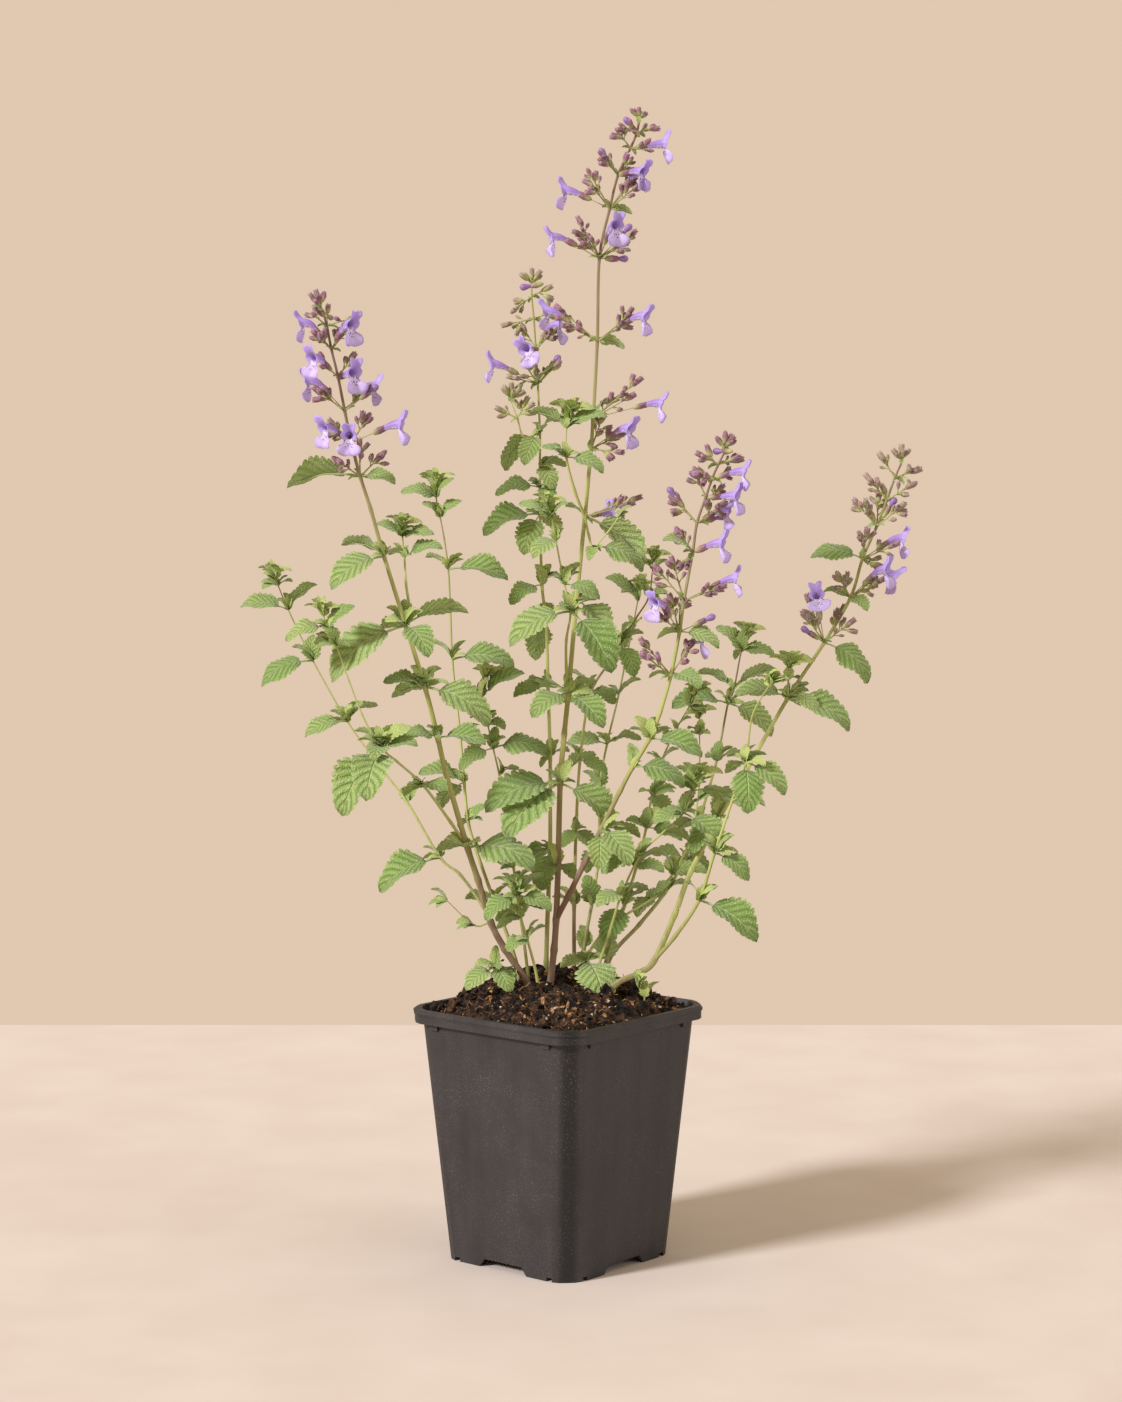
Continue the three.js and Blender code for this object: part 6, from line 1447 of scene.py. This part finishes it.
# ---------------------------------------------------------------- calyces and buds
# Ribbed tubular calyces with five pointed teeth, green at the foot and dull purple above, in
# clusters on short stalks. Buds show the furled corolla at the mouth.
CALYX_GREEN = "#979f58"
CALYX_PURPLE = "#783a62"
CALYX_DARK = "#562c44"
CALYX_DOWN = "#bd98a2"
BUD_VIOLET = "#765a90"
SMALL_CALYX = 4.8
CALYX_TEETH = 5

# Living calyx: matt and ribbed, with a pale down along its ribs and on its teeth.
calyx_skin, tree = empty_material("downy_calyx")
across = add(tree, "ShaderNodeUVMap", uv_map="UVMap")
flat = add(tree, "ShaderNodeSeparateXYZ", {0: across})
young = add(tree, "ShaderNodeAttribute", attribute_name="young").outputs["Fac"]
shade = add(tree, "ShaderNodeAttribute", attribute_name="shade").outputs["Fac"]
rise = add(tree, "ShaderNodeMapRange", {"Value": flat.outputs[1], "From Min": 0.08, "From Max": 0.55})
less = add(tree, "ShaderNodeMath", {0: young, 1: -0.85, 2: rise}, operation="MULTIPLY_ADD")
purple = add(tree, "ShaderNodeMix", {0: shade, 6: linear(CALYX_DARK), 7: linear(CALYX_PURPLE)},
             data_type="RGBA")
tint = add(tree, "ShaderNodeMix", {0: less, 6: linear(CALYX_GREEN), 7: purple},
           data_type="RGBA", clamp_factor=True)
rib = add(tree, "ShaderNodeMath", {0: flat.outputs[0], 1: CALYX_TEETH}, operation="MULTIPLY")
ribs = add(tree, "ShaderNodeMath", {0: rib, 1: 0.5}, operation="PINGPONG")
ridge = add(tree, "ShaderNodeMapRange", {"Value": ribs, "From Max": 0.5, "To Min": 0.12, "To Max": 0.0})
mouth = add(tree, "ShaderNodeMapRange", {"Value": flat.outputs[1], "From Min": 0.84, "From Max": 0.98,
                                         "To Max": 0.35})
down = add(tree, "ShaderNodeMath", {0: ridge, 1: mouth}, operation="ADD")
ribbed = add(tree, "ShaderNodeMix", {0: down, 6: tint, 7: linear(CALYX_DOWN)}, data_type="RGBA")
skin = add(tree, "ShaderNodeBsdfPrincipled", {"Base Color": ribbed, "Roughness": 0.65,
                                              "Sheen Weight": 0.35, "Sheen Roughness": 0.35,
                                              "Subsurface Weight": 0.05})
add(tree, "ShaderNodeOutputMaterial", {"Surface": skin})


def turned_shape(name, rings, sides, teeth=0.0, tooth_radius=0.0, hollow=0.0):
    """A shape one unit long round its y axis from rings of distance and radius. Teeth and
    tooth_radius are the distance and radius of the points of its teeth, of two sides each, and
    hollow is how deep its mouth goes in."""
    made = bmesh.new()
    uv = made.loops.layers.uv.new("UVMap")
    made.verts.layers.float.new("below")
    loops = []
    for k, (y, radius) in enumerate(rings):
        row = []
        for j in range(sides):
            angle = 2 * math.pi * j / sides
            ribbed = radius * (1.06 if j % 2 else 0.94) if teeth else radius
            row.append(made.verts.new((ribbed * math.cos(angle), y, ribbed * math.sin(angle))))
        loops.append(row)
    for low, high in zip(loops, loops[1:]):
        for j in range(sides):
            made.faces.new([low[j], high[j], high[(j + 1) % sides], low[(j + 1) % sides]])
    made.faces.new(loops[0])
    last = loops[-1]
    if teeth:
        y, radius = rings[-1]
        inner = made.verts.new((0, y - hollow, 0))
        for j in range(0, sides, 2):
            angle = 2 * math.pi * (j + 1) / sides
            point = made.verts.new((tooth_radius * math.cos(angle), teeth, tooth_radius * math.sin(angle)))
            a, b, c = last[j], last[j + 1], last[(j + 2) % sides]
            made.faces.new([a, point, b])
            made.faces.new([b, point, c])
            made.faces.new([point, a, inner])
            made.faces.new([c, point, inner])
    else:
        made.faces.new(last[::-1])
    for face in made.faces:
        face.smooth = True
        for loop in face.loops:
            co = loop.vert.co
            loop[uv].uv = (math.atan2(co.z, co.x) / (2 * math.pi) + 0.5, co.y)
    return mesh_of(name, made)


TWO_A_TOOTH = 2 * CALYX_TEETH
CALYX_MESHES = [
    turned_shape("calyx_a", [(0, 0.05), (0.12, 0.14), (0.5, 0.21), (0.86, 0.2)],
                 TWO_A_TOOTH, 1.02, 0.23, 0.3),
    turned_shape("calyx_b", [(0, 0.05), (0.14, 0.17), (0.5, 0.25), (0.86, 0.22)],
                 TWO_A_TOOTH, 1.0, 0.23, 0.25),
    turned_shape("furled_calyx", [(0, 0.05), (0.16, 0.16), (0.55, 0.235), (0.88, 0.15)],
                 TWO_A_TOOTH, 1.0, 0.04, 0.1),
]
BUD_RINGS = [(0, 0.08), (0.35, 0.13), (0.6, 0.21), (0.78, 0.24), (0.93, 0.16), (1, 0.04)]
BUD_MESHES = [turned_shape("furled_corolla", BUD_RINGS, 8)]

# A furled corolla: violet petal, thin and downy.
bud_petal, tree = empty_material("violet_bud")
petal = add(tree, "ShaderNodeBsdfPrincipled", {"Base Color": linear(BUD_VIOLET), "Roughness": 0.5,
                                               "Sheen Weight": 0.3, "Subsurface Weight": 0.1})
add(tree, "ShaderNodeOutputMaterial", {"Surface": petal})

calyx_shapes = shape_set("calyx_shape", CALYX_MESHES)
bud_shapes = shape_set("bud_shape", BUD_MESHES)
chance = random.Random(17)


def spot_at(place, direction, size, kind, young):
    """A spot for a shape that lies along a direction, upright where it can."""
    _, up = frame_of(direction, upright_for(direction))
    return {"place": place, "turn": turn_of(direction, up), "size": size, "kind": kind, "young": young,
            "shade": chance.uniform(0, 1)}


for grown in plants:
    spots = []
    greenest = YOUNG_SPIKES.get(grown.name, 0.2)
    for calyx in grown.calyces:
        is_small = calyx["long"] < SMALL_CALYX
        kind = chance.choice([1, 2, 2] if is_small else [0, 0, 1, 2])
        green = greenest * chance.uniform(0.4, 1.0)
        spots.append(spot_at(calyx["place"], calyx["way"], calyx["long"], kind, green))
    buds = [spot_at(bud["place"], bud["way"], BUD_LONG, 0, 0.0) for bud in grown.buds]
    if spots:
        placed(grown.name + "_calyces", spots, calyx_shapes, calyx_skin, [grown.name])
    if buds:
        placed(grown.name + "_buds", buds, bud_shapes, bud_petal, [grown.name])

# ---------------------------------------------------------------- open flowers
# Two-lipped corollas: a slender tube that widens to its throat, a notched hood, and a broad ruffled
# lower lip between two small lobes, lavender with purple spots on a pale throat.
COROLLA_LAVENDER = "#c2abea"
COROLLA_PALE = "#efe4fb"
COROLLA_TUBE_VIOLET = "#b08cd4"
COROLLA_SPOT = "#573487"
# Cells that may hold a dark spot, round the corolla and along it.
SPOT_CELLS = (26, 16, 1)
PETAL_CLEAR = 0.4

# Living petal: thin, matt and downy, and light enough to glow from behind.
petal_flesh, tree = empty_material("lavender_petal")
across = add(tree, "ShaderNodeUVMap", uv_map="UVMap")
flat = add(tree, "ShaderNodeSeparateXYZ", {0: across})
spread = add(tree, "ShaderNodeMapRange", {"Value": flat.outputs[1], "From Min": 0.25, "From Max": 0.6})
lobe = add(tree, "ShaderNodeMix", {0: spread, 6: linear(COROLLA_TUBE_VIOLET),
                                   7: linear(COROLLA_LAVENDER)}, data_type="RGBA")
throat = add(tree, "ShaderNodeMapRange", {"Value": flat.outputs[1], "From Min": 1.15, "From Max": 0.55})
middle = add(tree, "ShaderNodeMath", {0: flat.outputs[0], 1: -0.5}, operation="ADD")
side = add(tree, "ShaderNodeMath", {0: middle}, operation="ABSOLUTE")
lower = add(tree, "ShaderNodeMapRange", {"Value": side, "From Min": 0.22, "From Max": 0.14})
paler = add(tree, "ShaderNodeMath", {0: throat, 1: lower}, operation="MULTIPLY")
pale = add(tree, "ShaderNodeMix", {0: paler, 6: lobe, 7: linear(COROLLA_PALE)}, data_type="RGBA")
spotted = add(tree, "ShaderNodeMapping", {"Vector": across, "Scale": SPOT_CELLS})
dots = add(tree, "ShaderNodeTexVoronoi", {"Vector": spotted, "Scale": 1.0})
is_dot = add(tree, "ShaderNodeMapRange", {"Value": dots, "From Min": 0.4, "From Max": 0.25})
near = add(tree, "ShaderNodeMapRange", {"Value": flat.outputs[1], "From Min": 0.82, "From Max": 0.72})
dot_share = add(tree, "ShaderNodeMath", {0: is_dot, 1: lower}, operation="MULTIPLY")
dot = add(tree, "ShaderNodeMath", {0: dot_share, 1: near}, operation="MULTIPLY")
colour = add(tree, "ShaderNodeMix", {0: dot, 6: pale, 7: linear(COROLLA_SPOT)}, data_type="RGBA")
petal = add(tree, "ShaderNodeBsdfPrincipled", {"Base Color": colour, "Roughness": 0.5,
                                               "Sheen Weight": 0.25, "Subsurface Weight": 0.08})
glow = add(tree, "ShaderNodeBsdfTranslucent", {"Color": colour})
petal_light = add(tree, "ShaderNodeMixShader", {0: PETAL_CLEAR, 1: petal, 2: glow})
add(tree, "ShaderNodeOutputMaterial", {"Surface": petal_light})

# The corolla's edge, round half of it from the top of the hood to the tip of the lower lip: degrees
# round the mouth, how far to the side, up and forward of the mouth's middle, in millimetres.
COROLLA_EDGE = [
    (0, 0.0, 5.3, 2.5), (9, 1.4, 6.1, 3.1), (20, 2.8, 5.9, 3.8), (32, 3.2, 4.8, 4.1),
    (46, 2.9, 3.4, 3.6), (60, 2.5, 2.2, 2.8), (72, 3.3, 1.3, 2.0), (86, 3.9, 0.0, 1.8),
    (100, 3.3, -1.4, 1.4), (110, 2.2, -2.7, 0.9), (118, 2.7, -3.8, 1.4), (128, 4.7, -4.5, 2.7),
    (140, 5.7, -6.2, 3.4), (152, 5.0, -8.3, 3.0), (164, 3.2, -9.4, 2.1), (173, 1.4, -9.7, 1.6),
    (180, 0.0, -9.2, 1.3),
]
COROLLA_SIDES = 44
COROLLA_RINGS = 6
MOUTH_RADIUS = 1.95
MOUTH_SQUEEZE = 0.92
BEND_STEPS = 12
LOBES_BELOW = 3
LIP_CUP = 1.2
# A lobe bends between mouth and edge: how far out, how far ahead, and how much narrower it is there.
KNEE_OUT = 0.42
KNEE_AHEAD = 0.8
KNEE_WAIST = 0.28
# How far a ruffle stands out, on the lower lip and on the rest, and how many go round the edge.
LIP_RUFFLE = 0.32
HOOD_RUFFLE = 0.12
RUFFLES = 13


def edge_at(degrees):
    """The corolla's edge at an angle round the mouth, smoothly between its given points."""
    folded = min(degrees, 360 - degrees)
    keys = COROLLA_EDGE
    i = max(k for k in range(len(keys) - 1) if keys[k][0] <= folded)
    t = (folded - keys[i][0]) / (keys[i + 1][0] - keys[i][0])
    before = keys[max(i - 1, 0)]
    after = keys[min(i + 2, len(keys) - 1)]
    a, b, c, d = (Vector(key[1:]) for key in (before, keys[i], keys[i + 1], after))
    point = smoothly(a, b, c, d, t)
    return Vector((point.x if degrees <= 180 else -point.x, point.y, point.z))


def bent(spot, bend):
    """A place on a corolla whose tube nods by an angle between its calyx and its mouth."""
    x, y, z = spot
    inside = min(max(y, 0), COROLLA_TUBE)
    middle = Vector((0, min(y, 0), 0))
    for k in range(BEND_STEPS):
        angle = bend * (k + 0.5) / BEND_STEPS * inside / COROLLA_TUBE
        middle += Vector((0, math.cos(angle), -math.sin(angle))) * (inside / BEND_STEPS)
    angle = bend * inside / COROLLA_TUBE
    middle += Vector((0, math.cos(angle), -math.sin(angle))) * max(y - COROLLA_TUBE, 0)
    return middle + Vector((x, z * math.sin(angle), z * math.cos(angle)))


def corolla_shape(name, seed, bend):
    """A corolla in millimetres, its foot near y = 0 and its mouth further along y. UV's u runs round it
    from the top, and v from the tube's foot at 0 over the mouth at 0.5 to the edge at 1."""
    made = bmesh.new()
    uv = made.loops.layers.uv.new("UVMap")
    made.verts.layers.float.new("below")
    own_chance = random.Random(seed)
    phase = own_chance.uniform(0, 6)
    lean = own_chance.uniform(-0.5, 0.5)
    places = {}
    rows = []
    tube = [(-2.5, 0.7), (-0.5, 1.0), (1.5, 1.3), (3.2, 1.6), (4.8, 1.85), (COROLLA_TUBE, MOUTH_RADIUS)]
    for k, (y, radius) in enumerate(tube):
        row = []
        for j in range(COROLLA_SIDES):
            angle = 2 * math.pi * j / COROLLA_SIDES
            spot = (radius * MOUTH_SQUEEZE * math.sin(angle), y, radius * math.cos(angle))
            vert = made.verts.new(bent(spot, bend))
            places[vert] = (j / COROLLA_SIDES, 0.5 * k / (len(tube) - 1))
            row.append(vert)
        rows.append(row)
    for k in range(1, COROLLA_RINGS + 1):
        t = k / COROLLA_RINGS
        row = []
        for j in range(COROLLA_SIDES):
            angle = 2 * math.pi * j / COROLLA_SIDES
            side, height, forward = edge_at(math.degrees(angle))
            mouth = Vector((MOUTH_RADIUS * MOUTH_SQUEEZE * math.sin(angle), COROLLA_TUBE,
                            MOUTH_RADIUS * math.cos(angle)))
            rim = Vector((side, COROLLA_TUBE + forward + lean * (height > 0), height))
            waist = -KNEE_WAIST * side * (abs(height) > LOBES_BELOW)
            knee = mouth.lerp(rim, KNEE_OUT) + Vector((waist, KNEE_AHEAD, 0))
            spot = mouth * (1 - t) ** 2 + knee * 2 * t * (1 - t) + rim * t * t
            is_low = height < -LOBES_BELOW
            spot.y += t * t * (LIP_RUFFLE if is_low else HOOD_RUFFLE) * math.sin(RUFFLES * angle + phase)
            if is_low:
                spot.y -= LIP_CUP * math.sin(math.pi * t) * (1 - abs(spot.x) / 6)
            vert = made.verts.new(bent(spot, bend))
            places[vert] = (j / COROLLA_SIDES, 0.5 + 0.5 * t)
            row.append(vert)
        rows.append(row)
    for low, high in zip(rows, rows[1:]):
        for j in range(COROLLA_SIDES):
            after = (j + 1) % COROLLA_SIDES
            made.faces.new([low[j], high[j], high[after], low[after]])
    for face in made.faces:
        face.smooth = True
        wraps = any(places[loop.vert][0] > 0.6 for loop in face.loops)
        for loop in face.loops:
            u, v = places[loop.vert]
            loop[uv].uv = (1.0 if wraps and u == 0 else u, v)
    return mesh_of(name, made)


# Two shapes for each of four bends of the tube, so that the mouth looks to the side in every flower.
NOD_STEP = 18
NODS = 4
PETAL_THICK = 0.22
corolla_shapes = shape_set("corolla_shape",
                           [corolla_shape(f"corolla_{k}", k, math.radians(NOD_STEP * (k // 2)))
                            for k in range(2 * NODS)])
for shape in corolla_shapes.objects:
    wall = shape.modifiers.new("petal_wall", "SOLIDIFY")
    wall.thickness = PETAL_THICK
    wall.offset = -1
# The lower lip's middle, ahead of the corolla's foot and below its tube, how far its sides are, how
# much room it needs to a calyx, and the degrees that a corolla may be rolled round its tube for it.
LIP_AHEAD = 8.6
LIP_BELOW = 6.6
LIP_HALF = 3.6
LIP_ROOM = 2.9
LIP_ROLLS = (0, 18, -18, 32, -32, 46, -46)


def rolled_up(bloom, calyx_spots):
    """The upper side of a corolla, rolled round its tube until its lower lip misses each calyx."""
    right, up = frame_of(bloom["way"], upright_for(bloom["way"]))
    choices = []
    for roll in LIP_ROLLS:
        angle = math.radians(roll)
        side_up = up * math.cos(angle) + right * math.sin(angle)
        sideways = bloom["way"].cross(side_up) * LIP_HALF
        middle = bloom["place"] + bloom["way"] * LIP_AHEAD - side_up * LIP_BELOW
        lip = (middle - sideways, middle, middle + sideways)
        room = min((part - spot).length for part in lip for spot in calyx_spots)
        if room > LIP_ROOM:
            return side_up
        choices.append((room, len(choices), side_up))
    return max(choices)[2]


corolla_nodes = [name for name in frame["nodes"] if name.startswith("corolla_")]
corolla_corners, corolla_names = corners_of(corolla_nodes)
calyx_spots = [calyx["place"] + calyx["way"] * calyx["long"] * share
               for grown in plants for calyx in grown.calyces for share in (0.4, 0.7, 1.0)]
for grown in plants:
    spots = []
    nodes = set()
    for bloom in grown.flowers:
        direction = bloom["way"]
        start = bloom["place"]
        nodes.add(corolla_names[corolla_corners.find(start)[1]])
        nod = min(NODS - 1, max(0, round(math.degrees(math.asin(direction.z)) / NOD_STEP)))
        spot = spot_at(start, direction, chance.uniform(0.95, 1.08), 2 * nod + chance.randrange(2), 0.0)
        spot["turn"] = turn_of(direction, rolled_up(bloom, calyx_spots))
        spots.append(spot)
    if spots:
        placed(grown.name + "_corollas", spots, corolla_shapes, petal_flesh, sorted(nodes))
for shapes in (leaf_shapes, calyx_shapes, bud_shapes, corolla_shapes):
    drop_shapes(shapes)

# ---------------------------------------------------------------- floor and light
# A plain pale floor in beige surroundings, which warm the shadows. One soft light comes from the
# upper left in front of the plant, and a wider, weaker one from the right.
WALL_BEIGE = "#e0c8b1"
FLOOR_BEIGE = "#cdc6ba"
FLOOR_WORN = "#bdb2a4"
FLOOR_PATCH = 71.4
# How far the floor goes to the sides and the front, and to the back, and how high the lights aim.
FLOOR_HALF = 6000
FLOOR_BACK = 609
AIM_HEIGHT = 250

floor_paint, tree = empty_material("pale_plaster")
place = add(tree, "ShaderNodeTexCoord").outputs["Object"]
worn = add(tree, "ShaderNodeTexNoise", {"Vector": place, "Scale": 1000 / FLOOR_PATCH, "Detail": 8.0})
colour = add(tree, "ShaderNodeMix", {0: worn, 6: linear(FLOOR_WORN), 7: linear(FLOOR_BEIGE)},
             data_type="RGBA")
matt = add(tree, "ShaderNodeBsdfPrincipled", {"Base Color": colour, "Roughness": 0.9})
add(tree, "ShaderNodeOutputMaterial", {"Surface": matt})
floor_mesh = bpy.data.meshes.new("floor")
corners = [(-FLOOR_HALF, -FLOOR_HALF, 0), (FLOOR_HALF, -FLOOR_HALF, 0), (FLOOR_HALF, FLOOR_BACK, 0),
           (-FLOOR_HALF, FLOOR_BACK, 0)]
floor_mesh.from_pydata([PLANT_TO_WORLD @ Vector(corner) for corner in corners], [], [(0, 1, 2, 3)])
floor_mesh.materials.append(floor_paint)
floor = shown("floor", floor_mesh)


def soft_light(name, place, spread, strength, colour):
    """A far soft light towards the plant's middle from a place in its frame, spread in degrees."""
    lamp = bpy.data.lights.new(name, "SUN")
    lamp.angle = math.radians(spread)
    lamp.energy = strength
    lamp.color = linear(colour)[:3]
    made = bpy.data.objects.new(name, lamp)
    bpy.context.scene.collection.objects.link(made)
    made.location = PLANT_TO_WORLD @ Vector(place)
    way = PLANT_TO_WORLD @ Vector((0, 0, AIM_HEIGHT)) - made.location
    made.rotation_euler = way.to_track_quat("-Z", "Y").to_euler()


soft_light("key", (-2900, -2250, 2350), 10, 4.7, "#f8f5ff")
soft_light("fill", (2600, -1500, 1100), 35, 0.9, "#e6eeff")
bpy.context.scene.view_settings.view_transform = "Standard"
world = bpy.data.worlds.new("studio")
bpy.context.scene.world = world
world.use_nodes = True
world.node_tree.nodes["Background"].inputs["Color"].default_value = linear(WALL_BEIGE)
world.node_tree.nodes["Background"].inputs["Strength"].default_value = 1.0
